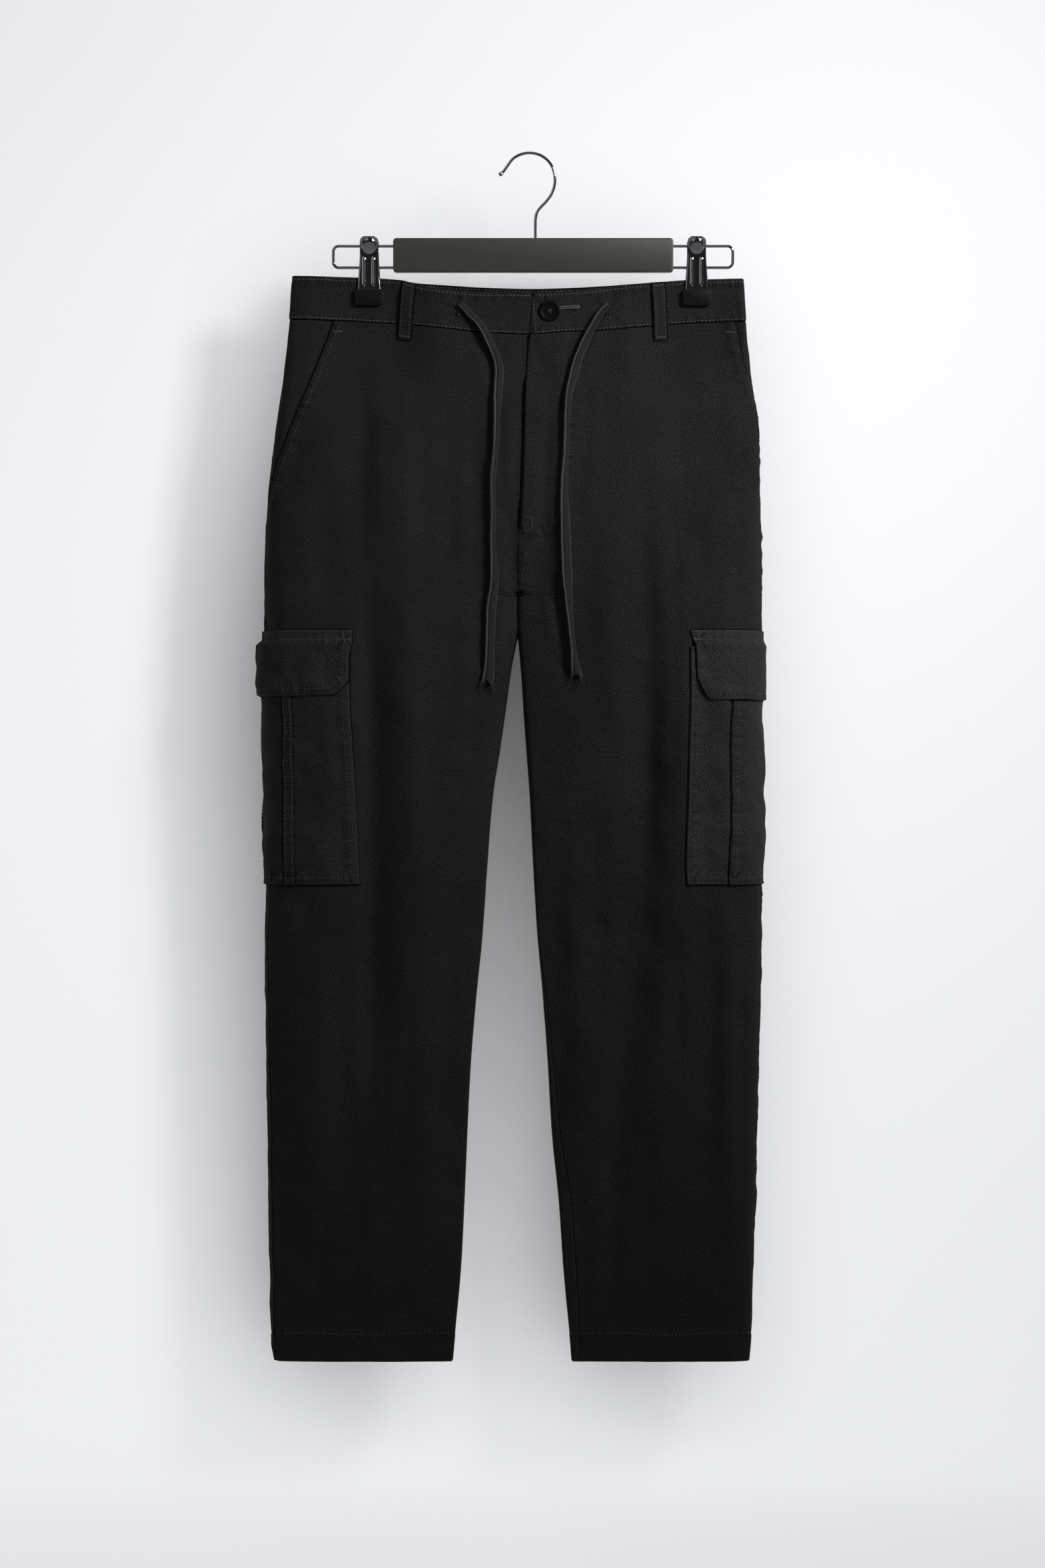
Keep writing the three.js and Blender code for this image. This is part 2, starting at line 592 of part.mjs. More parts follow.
// The column that lies an arc length ahead of the side seam, within the side columns
function columnOfWidth(width) {
  const low = Math.max(0, SIDE_STEPS.findIndex((step) => step >= width) - 1);
  return low + (width - SIDE_STEPS[low]) / (SIDE_STEPS[low + 1] - SIDE_STEPS[low]);
}

const wallAt = (z) => (z <= HEM_SEAM ? HEM_CLOTH : CLOTH);
const belowCrotch = (panelRow) => ROWS[panelRow + BAND_ROWS] <= CROTCH;

// Front panel: the slant pocket cuts away its upper outer corner; the fly's three layers make the
// left one stand proud along the centre
function frontPanel(leg) {
  const outer = [];
  const inner = [];
  for (let i = BAND_ROWS; i < ROWS.length; i += 1) {
    const z = ROWS[i];
    const start = columnOfWidth(slantWidth(z));
    const ring = section(leg, z);
    const outerRow = [];
    const innerRow = [];
    for (let k = 0; k <= COLUMNS; k += 1) {
      const column = k < SIDE_COLUMNS ? mix(start, SIDE_COLUMNS, k / SIDE_COLUMNS) : k;
      const arc = arcOfColumn(leg, z, column);
      const point = clothPoint(leg, z, arc);
      const normal = clothNormal(leg, z, arc);
      const onFly = leg === LEFT_LEG && z >= FLY_END && ring.frontEnd - arc <= FLY_WIDTH;
      outerRow.push(point.clone().addScaledVector(normal, onFly ? FLY_PROUD : 0));
      innerRow.push(point.clone().addScaledVector(normal, -wallAt(z)));
    }
    outer.push(outerRow);
    inner.push(innerRow);
  }
  const seams = { top: true, start: always, end: belowCrotch };
  return wallBetween(opened(outer, seams), opened(inner, seams));
}

// Back panel, from its inner edge to the side seam
function backPanel(leg) {
  const outer = [];
  const inner = [];
  for (let i = BAND_ROWS; i < ROWS.length; i += 1) {
    const places = [];
    for (let column = -COLUMNS; column <= 0; column += 1) places.push(leg.grid[i].get(column));
    const wall = wallAt(ROWS[i]);
    outer.push(places.map((place) => place.point));
    inner.push(places.map((place) => place.point.clone().addScaledVector(place.normal, -wall)));
  }
  const seams = { top: true, start: belowCrotch, end: always };
  return wallBetween(opened(outer, seams), opened(inner, seams));
}

// Half of the waistband, from the centre back round the side to the centre front
function bandHalf(leg) {
  const rowsOf = (out) => ROWS.slice(0, BAND_ROWS + 1).map((z, i) => {
    const row = [];
    for (let column = -COLUMNS; column <= COLUMNS; column += 1) {
      const place = leg.grid[i].get(column);
      row.push(place.point.clone().addScaledVector(place.normal, out));
    }
    return row;
  });
  const [outer, inner] = [rowsOf(BAND_PROUD), rowsOf(BAND_PROUD - BAND_CLOTH)];
  return wallBetween(opened(outer, { bottom: true }), opened(inner, { bottom: true }));
}

// Cloth behind the slant opening, from the side seam to under the front panel's edge
function pocketFacing(leg) {
  const heights = [...ROWS.filter((z) => z <= BAND_SEAM && z > SLANT_END), FACING_END];
  const gridAt = (wall) => heights.map((z) => {
    const { seam } = section(leg, z);
    const tuck = 1 + SLANT_TUCK * clamp((z - FACING_END) / FACING_TAPER);
    return FACING_SHARES.map((share) => {
      const ahead = mix(HALF_GAP, slantWidth(z) + tuck, share);
      const point = clothPoint(leg, z, seam + ahead);
      const inset = mix(FACING_INSET, FACING_PRESSED, pinch(point.x, z));
      const hidden = inset * ease(ahead / (FACING_SHELVES * slantWidth(z)));
      return point.addScaledVector(clothNormal(leg, z, seam + ahead), -hidden - wall);
    });
  });
  return wallBetween(opened(gridAt(0), { top: true }), opened(gridAt(CLOTH), { top: true }));
}

// A piece that lies on the leg, given by its columns, the heights of its rows at each column, how
// far each row stands off the leg, and its thickness
function overlay(leg, columns, heightsAt, lifts, clothAt) {
  const outer = [];
  const inner = [];
  lifts.forEach((lift, i) => {
    inner.push(columns.map((column) => onCloth(leg, heightsAt(column)[i], column, lift)));
    outer.push(columns.map((column) => onCloth(leg, heightsAt(column)[i], column, lift + clothAt(column))));
  });
  return wallBetween(outer, inner);
}

const wholeColumns = (reach) => {
  const columns = [];
  for (let column = -reach; column <= reach; column += 1) columns.push(column);
  return columns;
};

const sortedColumns = (columns) => [...new Set(columns)].sort((a, b) => a - b);

// Cargo pocket: a patch across the side seam with a stitched pleat in front and one behind
function cargoPocket(leg, pleatAt) {
  const strip = [pleatAt, pleatAt + PLEAT_WIDTH].map(columnOfWidth);
  const edges = [strip[0] - PLEAT_STEP, strip[0], strip[1], strip[1] + PLEAT_STEP / 2];
  const columns = sortedColumns([...wholeColumns(SIDE_COLUMNS), ...edges, ...edges.map((edge) => -edge)]);
  const rows = ROWS.filter((z) => z <= POCKET_TOP && z >= POCKET_BOTTOM);
  const onPleat = (column) => Math.abs(column) >= strip[0] && Math.abs(column) <= strip[1];
  const clothAt = (column) => POCKET_CLOTH + (onPleat(column) ? PLEAT_PROUD : 0);
  return overlay(leg, columns, () => rows, rows.map(() => SEAM_GAP), clothAt);
}

// Pocket flap: sewn on above the pocket's mouth, with its two lower corners cut off
function cargoFlap(leg, bottom, chamferWidth, chamferHeight) {
  const cut = columnOfWidth(POCKET_HALF_WIDTH + FLAP_OVERHANG - chamferWidth);
  const overhang = SIDE_COLUMNS + FLAP_SIDE;
  const columns = sortedColumns([...wholeColumns(SIDE_COLUMNS), cut, -cut, overhang, -overhang]);
  const over = SEAM_GAP + POCKET_CLOTH + PLEAT_PROUD + SEAM_GAP;
  const lifts = [SEAM_GAP, SEAM_GAP, over, over, over];
  const heightsAt = (column) => {
    const past = clamp((Math.abs(column) - cut) / (overhang - cut));
    return [FLAP_TOP, ...FLAP_ROWS, bottom + past * chamferHeight];
  };
  return overlay(leg, columns, heightsAt, lifts, () => FLAP_CLOTH);
}

// Belt loop: a folded strip sewn down at its ends, standing off the band between them
function beltLoop(leg, face, xTop, xBottom) {
  const gridAt = (extra) => LOOP_STATIONS.map(([z, lift]) => {
    const x = mix(xTop, xBottom, (WAIST_TOP - z) / (WAIST_TOP - LOOP_END));
    return [-1, 0, 1].map((hand) => {
      const column = columnAt(leg, face, z, x + (hand * LOOP_WIDTH) / 2);
      return onCloth(leg, z, column, lift + extra);
    });
  });
  return wallBetween(gridAt(LOOP_CLOTH), gridAt(0));
}

// The loop over the centre back seam spans both halves of the band
function centreBackLoop() {
  const gridAt = (extra) => LOOP_STATIONS.map(([z, lift]) => {
    const centre = readTable(CENTRE_LINE, 'z', 'x', z);
    const right = columnAt(RIGHT_LEG, 'back', z, centre - LOOP_WIDTH / 2);
    const left = columnAt(LEFT_LEG, 'back', z, centre + LOOP_WIDTH / 2);
    return [
      onCloth(RIGHT_LEG, z, right, lift + extra),
      onCloth(RIGHT_LEG, z, -COLUMNS, lift + extra),
      onCloth(LEFT_LEG, z, left, lift + extra),
    ];
  });
  return wallBetween(gridAt(LOOP_CLOTH), gridAt(0));
}

for (const leg of LEGS) {
  add(`waistband_${leg.name}`, bandHalf(leg), twill);
  add(`front_${leg.name}`, frontPanel(leg), twill);
  add(`back_${leg.name}`, backPanel(leg), twill);
  add(`pocket_facing_${leg.name}`, pocketFacing(leg), twill);
}
add('cargo_pocket_right', cargoPocket(RIGHT_LEG, 18), twill);
add('cargo_pocket_left', cargoPocket(LEFT_LEG, 36), twill);
add('cargo_flap_right', cargoFlap(RIGHT_LEG, -508, 14, 13), twill);
add('cargo_flap_left', cargoFlap(LEFT_LEG, -512, 16, 21), twill);

add('belt_loop_front_right', beltLoop(RIGHT_LEG, 'front', -112.5, -117), twill);
add('belt_loop_front_left', beltLoop(LEFT_LEG, 'front', 120, 122.5), twill);
add('belt_loop_back_right', beltLoop(RIGHT_LEG, 'back', -98, -100), twill);
add('belt_loop_back_left', beltLoop(LEFT_LEG, 'back', 96, 98), twill);
add('belt_loop_centre_back', centreBackLoop(), twill);

// Button: a turned disc with a raised rim and four holes, on the band beside its buttonhole
function buttonSolid() {
  const profile = [
    [0, 0], [BUTTON_RADIUS - 0.6, 0], [BUTTON_RADIUS, 0.8], [BUTTON_RADIUS, 2], [9, BUTTON_THICK],
    [7.8, BUTTON_THICK], [6.6, 2.1], [0, 2],
  ].map(([radius, height]) => new THREE.Vector2(radius, height));
  let solid = toManifold(new THREE.LatheGeometry(profile, 24));
  for (const [x, z] of [[1, 1], [1, -1], [-1, 1], [-1, -1]]) {
    const hole = new THREE.CylinderGeometry(BUTTON_HOLE / 2, BUTTON_HOLE / 2, 4 * BUTTON_THICK, 8);
    hole.translate(x * BUTTON_HOLE_OFF, 0, z * BUTTON_HOLE_OFF);
    solid = solid.subtract(toManifold(hole));
  }
  return fromManifold(solid);
}

const buttonColumn = columnAt(LEFT_LEG, 'front', BUTTON_ROW, BUTTON_X);
const buttonSeat = onCloth(LEFT_LEG, BUTTON_ROW, buttonColumn, BUTTON_STAND);
const buttonEdge = onCloth(LEFT_LEG, BUTTON_ROW, buttonColumn, BUTTON_STAND + BUTTON_THICK);
const buttonAway = buttonEdge.sub(buttonSeat).normalize();
const button = add('button', buttonSolid(), buttonResin);
button.position.copy(buttonSeat);
button.quaternion.setFromUnitVectors(new THREE.Vector3(0, 1, 0), buttonAway);

// Drawcords: flat folded tapes that leave an eyelet in the band and hang free over the fronts
const RIGHT_TAPE = [
  [-65.3, -16.5, -141.6], [-56, -17.3, -151.5], [-45.9, -18.4, -162.2], [-35.6, -20.6, -181.6],
  [-28.4, -24.4, -202.2], [-29.7, -29, -230.3], [-30.9, -33.4, -265.3], [-32.8, -35.6, -286.6],
  [-34.7, -37.4, -309.1], [-34.4, -39.1, -336.6], [-34.1, -39.8, -364.7], [-33, -39.9, -386.6],
  [-32.8, -39.7, -404.7], [-35.3, -39.4, -424.7], [-36.6, -39.1, -452.2], [-37.8, -38.8, -484.1],
  [-40.4, -38.6, -498],
];
const LEFT_TAPE = [
  [74.1, -16.6, -142.8], [65.9, -17.4, -151.6], [54.1, -19.2, -172.2], [45.3, -22.8, -192.8],
  [42.2, -25.2, -205.3], [36.6, -28.6, -225.3], [34.8, -31.6, -247], [34.7, -33.6, -264.7],
  [32.8, -37.3, -304.7], [32.4, -38.8, -325], [32.8, -40.1, -344.7], [34.1, -41.2, -384.7],
  [35.3, -41.4, -410.3], [38.4, -41.8, -444.7], [41.4, -42.2, -472], [43.8, -42.6, -491],
];

function tapeSolid(route) {
  const curve = new THREE.CatmullRomCurve3(route.map(([x, y, z]) => new THREE.Vector3(x, y, z)));
  const [side, face] = [TAPE_WIDTH / 2, TAPE_THICK / 2];
  const [flat, brow] = [side - TAPE_EDGE, face / 4];
  const outline = [
    [-side, brow], [-flat, face], [flat, face], [side, brow],
    [side, -brow], [flat, -face], [-flat, -face], [-side, -brow],
  ];
  const rings = [];
  for (let i = 0; i <= TAPE_STEPS; i += 1) {
    const centre = curve.getPointAt(i / TAPE_STEPS);
    const along = curve.getTangentAt(i / TAPE_STEPS);
    const across = new THREE.Vector3(0, 1, 0).cross(along).normalize();
    const out = new THREE.Vector3().crossVectors(along, across).normalize();
    rings.push(outline.map(([w, h]) => centre.clone().addScaledVector(across, w).addScaledVector(out, h)));
  }
  return tubeThrough(rings);
}

add('drawcord_right', tapeSolid(RIGHT_TAPE), tapeCloth);
add('drawcord_left', tapeSolid(LEFT_TAPE), tapeCloth);

// Hanger: a bar, a bent hook in its top, and at each end a wire hairpin that a clip slides on

function wireAlong(path, wireSteps) {
  const outline = new THREE.Shape();
  outline.absarc(0, 0, WIRE / 2, 0, 2 * Math.PI);
  return toManifold(new THREE.ExtrudeGeometry(outline, {
    extrudePath: path, steps: wireSteps, curveSegments: WIRE_SIDES / 2, bevelEnabled: false,
  }));
}

function boreAt(z, x) {
  const bore = new THREE.CylinderGeometry(BORE / 2, BORE / 2, 2 * SOCKET_DEPTH, 10);
  bore.rotateZ(Math.PI / 2);
  bore.translate(x, 0, z);
  return toManifold(bore);
}

function hangerBar() {
  const [w, h, r] = [BAR_LENGTH / 2, BAR_HEIGHT / 2, BAR_CORNER];
  const face = new THREE.Shape();
  face.moveTo(-w + r, -h);
  face.absarc(w - r, -h + r, r, -Math.PI / 2, 0);
  face.absarc(w - r, h - r, r, 0, Math.PI / 2);
  face.absarc(-w + r, h - r, r, Math.PI / 2, Math.PI);
  face.absarc(-w + r, -h + r, r, Math.PI, 1.5 * Math.PI);
  const body = new THREE.ExtrudeGeometry(face, {
    depth: BAR_DEPTH - 2 * BAR_BEVEL, bevelThickness: BAR_BEVEL, bevelSize: BAR_BEVEL,
    bevelOffset: -BAR_BEVEL, bevelSegments: 1, curveSegments: 2,
  });
  body.translate(0, 0, -BAR_DEPTH / 2 + BAR_BEVEL);
  body.rotateX(Math.PI / 2);
  body.translate(BAR_X, 0, BAR_Z);
  let solid = toManifold(body);
  for (const z of [WIRE_TOP_Z, WIRE_LOW_Z]) {
    solid = solid.subtract(boreAt(z, BAR_X - w)).subtract(boreAt(z, BAR_X + w));
  }
  const stemBore = new THREE.CylinderGeometry(BORE / 2, BORE / 2, 2 * SOCKET_DEPTH, 10);
  stemBore.rotateX(Math.PI / 2);
  stemBore.translate(STEM_X, 0, BAR_Z + h);
  return fromManifold(solid.subtract(toManifold(stemBore)));
}

function hangerHook() {
  const arc = [];
  for (let degrees = 150; degrees >= 0; degrees -= 15) {
    const angle = THREE.MathUtils.degToRad(degrees);
    arc.push([HOOK_RADIUS * Math.cos(angle), WIRE / 2 - HOOK_RADIUS + HOOK_RADIUS * Math.sin(angle)]);
  }
  const neck = [[23.4, -29.1], [20.6, -37.3], [15.4, -44.6], [10.3, -49.8], [7.1, -54.4], [5.7, -60]];
  const stem = [[STEM_X, -68], [STEM_X, BAR_Z + BAR_HEIGHT / 2 - SOCKET_DEPTH + SEAM_GAP]];
  const tip = [[-28.6, -19.5], [-24.5, -16.2]];
  const points = [...tip, ...arc.slice(1), ...neck, ...stem];
  const path = new THREE.CatmullRomCurve3(points.map(([x, z]) => new THREE.Vector3(x, 0, z)));
  const ball = new THREE.SphereGeometry(HOOK_BALL / 2, 10, 6);
  ball.translate(tip[0][0], 0, tip[0][1]);
  return fromManifold(wireAlong(path, 44).add(toManifold(ball)));
}

function hangerWire(direction, outerX) {
  const start = BAR_X + direction * (BAR_LENGTH / 2 - SOCKET_DEPTH + SEAM_GAP);
  const turnX = outerX - direction * WIRE_CORNER;
  const at = (x, z) => new THREE.Vector3(x, 0, z);
  const points = [at(start, WIRE_TOP_Z), at((start + turnX) / 2, WIRE_TOP_Z), at(turnX, WIRE_TOP_Z)];
  for (const degrees of [30, 60, 90]) {
    const angle = THREE.MathUtils.degToRad(degrees);
    const lift = WIRE_CORNER * (1 - Math.cos(angle));
    points.push(at(turnX + direction * WIRE_CORNER * Math.sin(angle), WIRE_TOP_Z - lift));
  }
  const lower = points.map((point) => at(point.x, WIRE_TOP_Z + WIRE_LOW_Z - point.z)).reverse();
  const all = [...points, ...lower];
  const rings = all.map((point, i) => {
    const before = all[Math.max(0, i - 1)];
    const after = all[Math.min(all.length - 1, i + 1)];
    const along = after.clone().sub(before).normalize();
    const across = new THREE.Vector3(0, 1, 0);
    const out = new THREE.Vector3().crossVectors(along, across).normalize();
    const ring = [];
    for (let k = 0; k < WIRE_SIDES; k += 1) {
      const angle = (2 * Math.PI * k) / WIRE_SIDES;
      const place = point.clone().addScaledVector(across, (WIRE / 2) * Math.cos(angle));
      ring.push(place.addScaledVector(out, (WIRE / 2) * Math.sin(angle)));
    }
    return ring;
  });
  return tubeThrough(rings);
}

// Pressed plate of a clip: flares to its foot, with a round head, a dimple and two raised ribs
function clipPlate(face) {
  const outer = [];
  const inner = [];
  for (const [z, halfWidth, stand] of PLATE_SECTIONS) {
    const rowOut = [];
    const rowIn = [];
    for (const share of PLATE_COLUMNS) {
      const x = share * halfWidth;
      const fromDimple = Math.hypot(x, z - PLATE_DIMPLE_Z);
      const dimple = PLATE_DIMPLE * ease(1.35 - fromDimple / PLATE_DIMPLE_RADIUS);
      const onRib = z < PLATE_RIB_TOP && Math.abs(Math.abs(share) - PLATE_RIB_SHARE) < 0.16;
      const relief = Math.max(dimple, onRib ? PLATE_RIB : 0);
      rowOut.push(new THREE.Vector3(x, face * (stand + PLATE_THICK + relief), z));
      rowIn.push(new THREE.Vector3(x, face * stand, z));
    }
    outer.push(rowOut);
    inner.push(rowIn);
  }
  return wallBetween(outer, inner);
}

function clipPad(face) {
  const [w, h, r] = [PAD_WIDTH / 2, (PAD_TOP - PAD_BOTTOM) / 2, PAD_CORNER];
  const outline = new THREE.Shape();
  outline.moveTo(-w + r, -h);
  outline.absarc(w - r, -h + r, r, -Math.PI / 2, 0);
  outline.lineTo(w, h);
  outline.lineTo(-w, h);
  outline.absarc(-w + r, -h + r, r, Math.PI, 1.5 * Math.PI);
  const pad = new THREE.ExtrudeGeometry(outline, {
    depth: PAD_THICK, bevelEnabled: false, curveSegments: 4,
  });
  pad.rotateX(Math.PI / 2);
  pad.translate(0, face > 0 ? PAD_FACE + PAD_THICK : -PAD_FACE, (PAD_TOP + PAD_BOTTOM) / 2);
  return fromManifold(toManifold(pad));
}

function clipCore() {
  const core = new THREE.BoxGeometry(CORE_WIDTH, CORE_DEPTH, CORE_TOP - CORE_BOTTOM);
  core.translate(0, 0, (CORE_TOP + CORE_BOTTOM) / 2);
  return fromManifold(toManifold(core).subtract(boreAt(WIRE_TOP_Z, 0)).subtract(boreAt(WIRE_LOW_Z, 0)));
}

add('hanger_bar', hangerBar(), barPlastic);
add('hanger_hook', hangerHook(), chrome);
add('hanger_wire_right', hangerWire(-1, WIRE_END_RIGHT), chrome);
add('hanger_wire_left', hangerWire(1, WIRE_END_LEFT), chrome);
for (const [hand, x] of [['right', CLIP_RIGHT_X], ['left', CLIP_LEFT_X]]) {
  const pieces = [
    add(`clip_core_${hand}`, clipCore(), chrome),
    add(`clip_plate_front_${hand}`, clipPlate(-1), chrome),
    add(`clip_plate_back_${hand}`, clipPlate(1), chrome),
    add(`clip_pad_front_${hand}`, clipPad(-1), rubber),
    add(`clip_pad_back_${hand}`, clipPad(1), rubber),
  ];
  for (const piece of pieces) piece.position.x = x;
}

export default group;
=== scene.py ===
import math
import random

import bmesh
import bpy
import numpy as np
from mathutils import Matrix, Vector


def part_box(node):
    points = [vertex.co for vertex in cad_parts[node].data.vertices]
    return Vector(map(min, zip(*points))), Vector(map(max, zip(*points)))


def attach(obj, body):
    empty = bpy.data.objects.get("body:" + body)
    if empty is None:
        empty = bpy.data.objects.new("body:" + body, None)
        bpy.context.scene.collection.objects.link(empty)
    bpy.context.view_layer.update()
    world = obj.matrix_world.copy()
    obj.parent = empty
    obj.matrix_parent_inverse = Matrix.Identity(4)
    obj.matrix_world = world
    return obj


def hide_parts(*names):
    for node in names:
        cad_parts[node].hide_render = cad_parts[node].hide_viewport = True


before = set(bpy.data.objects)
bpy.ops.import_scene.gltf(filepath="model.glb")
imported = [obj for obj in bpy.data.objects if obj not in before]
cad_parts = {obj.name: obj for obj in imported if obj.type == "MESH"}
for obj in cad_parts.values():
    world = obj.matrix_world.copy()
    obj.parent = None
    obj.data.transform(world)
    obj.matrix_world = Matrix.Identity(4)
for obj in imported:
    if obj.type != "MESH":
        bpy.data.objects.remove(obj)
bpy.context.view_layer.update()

# Camera
# A portrait frame, square on to the garment from 4 m in front of it and level with its middle. The
# frame's long side covers 1.47 m at the hanger.
FRAME_HEIGHT = 1.47
CAMERA_AWAY = 4.0
CAMERA_X = -0.0066
CAMERA_Z = -0.5903
SENSOR = 36.0

camera_data = bpy.data.cameras.new("camera")
camera_data.sensor_width = SENSOR
camera_data.lens = SENSOR * CAMERA_AWAY / FRAME_HEIGHT
camera = bpy.data.objects.new("camera", camera_data)
camera.location = (CAMERA_X, -CAMERA_AWAY, CAMERA_Z)
camera.rotation_euler = (math.radians(90), 0, 0)
bpy.context.collection.objects.link(camera)
bpy.context.scene.camera = camera
bpy.context.scene.view_settings.view_transform = "Standard"

# Drawcords
# The two free ends of one flat tape of black cotton, folded lengthways and stitched along its open
# edge. Each leaves an eyelet in the band and hangs over the front, and its cut end gapes and frays.
# The routes are in metres; all other sizes of the garment are in millimetres.
RIGHT_TAPE = [
    (-0.0653, -0.0165, -0.1416), (-0.056, -0.0173, -0.1515), (-0.0459, -0.0184, -0.1622),
    (-0.0356, -0.0206, -0.1816), (-0.0284, -0.0244, -0.2022), (-0.0297, -0.029, -0.2303),
    (-0.0309, -0.0334, -0.2653), (-0.0328, -0.0356, -0.2866), (-0.0347, -0.0374, -0.3091),
    (-0.0344, -0.0391, -0.3366), (-0.0341, -0.0398, -0.3647), (-0.033, -0.0399, -0.3866),
    (-0.0328, -0.0397, -0.4047), (-0.0353, -0.0394, -0.4247), (-0.0366, -0.0391, -0.4522),
    (-0.0378, -0.0388, -0.4841), (-0.0404, -0.0386, -0.498),
]
LEFT_TAPE = [
    (0.0741, -0.0166, -0.1428), (0.0659, -0.0174, -0.1516), (0.0541, -0.0192, -0.1722),
    (0.0453, -0.0228, -0.1928), (0.0422, -0.0252, -0.2053), (0.0366, -0.0286, -0.2253),
    (0.0348, -0.0316, -0.247), (0.0347, -0.0336, -0.2647), (0.0328, -0.0373, -0.3047),
    (0.0324, -0.0388, -0.325), (0.0328, -0.0401, -0.3447), (0.0341, -0.0412, -0.3847),
    (0.0353, -0.0414, -0.4103), (0.0384, -0.0418, -0.4447), (0.0414, -0.0422, -0.472),
    (0.0438, -0.0426, -0.491),
]
TAPE_WIDTH = 10.5
TAPE_THICK = 1.5
TAPE_WALL = 0.5
TAPE_STEP = 1.6
TAPE_STAND = 0.8
TAPE_LAYER_EDGE = 0.44


def linear(hex_colour):
    """A hex sRGB colour as linear red, green, blue and alpha."""
    channels = [int(hex_colour[i:i + 2], 16) / 255 for i in (1, 3, 5)]
    curve = [c / 12.92 if c <= 0.04045 else ((c + 0.055) / 1.055) ** 2.4 for c in channels]
    return (*curve, 1.0)


def node(material, kind, inputs, **settings):
    """Adds a shader node. An input is a value or the output socket that feeds it."""
    made = material.node_tree.nodes.new("ShaderNode" + kind)
    for name, value in settings.items():
        setattr(made, name, value)
    for name, value in inputs.items():
        if isinstance(value, bpy.types.NodeSocket):
            material.node_tree.links.new(value, made.inputs[name])
        else:
            made.inputs[name].default_value = value
    return made


def new_material(name):
    """An empty node material and its output node."""
    material = bpy.data.materials.new(name)
    material.use_nodes = True
    material.node_tree.nodes.clear()
    return material, node(material, "OutputMaterial", {})


def woven_cotton(name, dark, light, worn, pitch, rib_height, nap):
    """Dyed cotton twill: diagonal ribs at a pitch in millimetres, soft nap, paler where worn, painted shade
    in seams.
    """
    material, output = new_material(name)
    place = node(material, "UVMap", {}, uv_map="cloth")
    turned = node(material, "Mapping", {"Vector": place.outputs[0], "Rotation": (0, 0, TWILL_ANGLE)})
    rib = node(material, "TexWave", {
        "Vector": turned.outputs[0], "Scale": WAVE_PERIOD / pitch, "Distortion": 3.2,
        "Detail": 4.0, "Detail Scale": 1.7, "Detail Roughness": 0.8})
    yarn = node(material, "TexNoise", {
        "Vector": place.outputs[0], "Scale": YARN_SCALE / pitch, "Detail": 3.0, "Roughness": 0.8})
    cast = node(material, "TexNoise", {
        "Vector": place.outputs[0], "Scale": CAST_SCALE, "Detail": 6.0, "Roughness": 0.68})
    relief = node(material, "Mix", {
        "Factor": 0.7, "A": rib.outputs["Fac"], "B": yarn.outputs["Fac"]}, data_type="FLOAT")
    tone = node(material, "MapRange", {
        "Value": relief.outputs[0], "From Min": 0.36, "From Max": 0.66})
    ribs = node(material, "Mix", {
        "Factor": tone.outputs[0], "A": linear(dark), "B": linear(light)}, data_type="RGBA")
    patchy = node(material, "MapRange", {
        "Value": cast.outputs["Fac"], "From Min": 0.3, "From Max": 0.7, "To Min": 0.84,
        "To Max": 1.16})
    dyed = node(material, "VectorMath", {
        0: ribs.outputs["Result"], "Scale": patchy.outputs[0]}, operation="SCALE")
    wear_and_shade = node(material, "Attribute", {}, attribute_name="wear_and_shade")
    rubbed = node(material, "Mix", {
        "Factor": wear_and_shade.outputs["Fac"], "A": dyed.outputs[0], "B": linear(worn)}, data_type="RGBA")
    # Below zero the attribute is painted shade: the cloth is darkened in seams and under edges
    depth = node(material, "MapRange", {
        "Value": wear_and_shade.outputs["Fac"], "From Min": -1.0, "From Max": 0.0, "To Min": 0.05})
    shaded = node(material, "VectorMath", {
        0: rubbed.outputs["Result"], "Scale": depth.outputs[0]}, operation="SCALE")
    # Along a sewn line the cloth is drawn up into short uneven puckers that cross the line
    along = node(material, "Attribute", {}, attribute_name="along")
    sewn = node(material, "Attribute", {}, attribute_name="sewn")
    pucker = node(material, "TexNoise", {
        "W": along.outputs["Fac"], "Scale": PUCKER_SCALE, "Detail": 1.0, "Roughness": 0.5},
        noise_dimensions="1D")
    gathered = node(material, "Math", {
        0: pucker.outputs["Fac"], 1: sewn.outputs["Fac"]}, operation="MULTIPLY")
    drawn_up = node(material, "Bump", {
        "Height": gathered.outputs[0], "Strength": 1.0, "Distance": PUCKER_HEIGHT / 1000})
    bump = node(material, "Bump", {
        "Height": relief.outputs[0], "Strength": 1.0, "Distance": rib_height / 1000,
        "Normal": drawn_up.outputs[0]})
    shader = node(material, "BsdfPrincipled", {
        "Base Color": shaded.outputs[0], "Roughness": 0.88, "IOR": 1.45,
        "Specular IOR Level": 0.10, "Sheen Weight": nap, "Sheen Roughness": 0.5,
        "Sheen Tint": linear("#9a9a9c"), "Normal": bump.outputs[0]})
    material.node_tree.links.new(shader.outputs[0], output.inputs["Surface"])
    return material


TWILL_ANGLE = math.radians(62)
WAVE_PERIOD = 2 * math.pi / 20 * 1000
CAST_SCALE = 9.0
YARN_SCALE = 1000.0
# Puckers are about 6 mm apart along the line, and up to a millimetre high
PUCKER_SCALE = 0.17
PUCKER_HEIGHT = 2.6

# Black cotton tape: the same yarn as the trousers in a finer, flatter weave, a little glossier
folded_tape_cotton = woven_cotton("folded cotton tape", "#141414", "#2d2d2e", "#5c5c5e", 1.6, 0.3, 0.04)
# The same yarn where it is cut: loose fibres catch the light
loose_cotton_yarn = woven_cotton("loose cotton yarn", "#3a3a3c", "#7c7c80", "#8a8a8e", 1.2, 0.1, 0.1)


def ease(value):
    """Smooth step from 0 to 1."""
    value = np.clip(value, 0, 1)
    return value ** 2 * (3 - 2 * value)


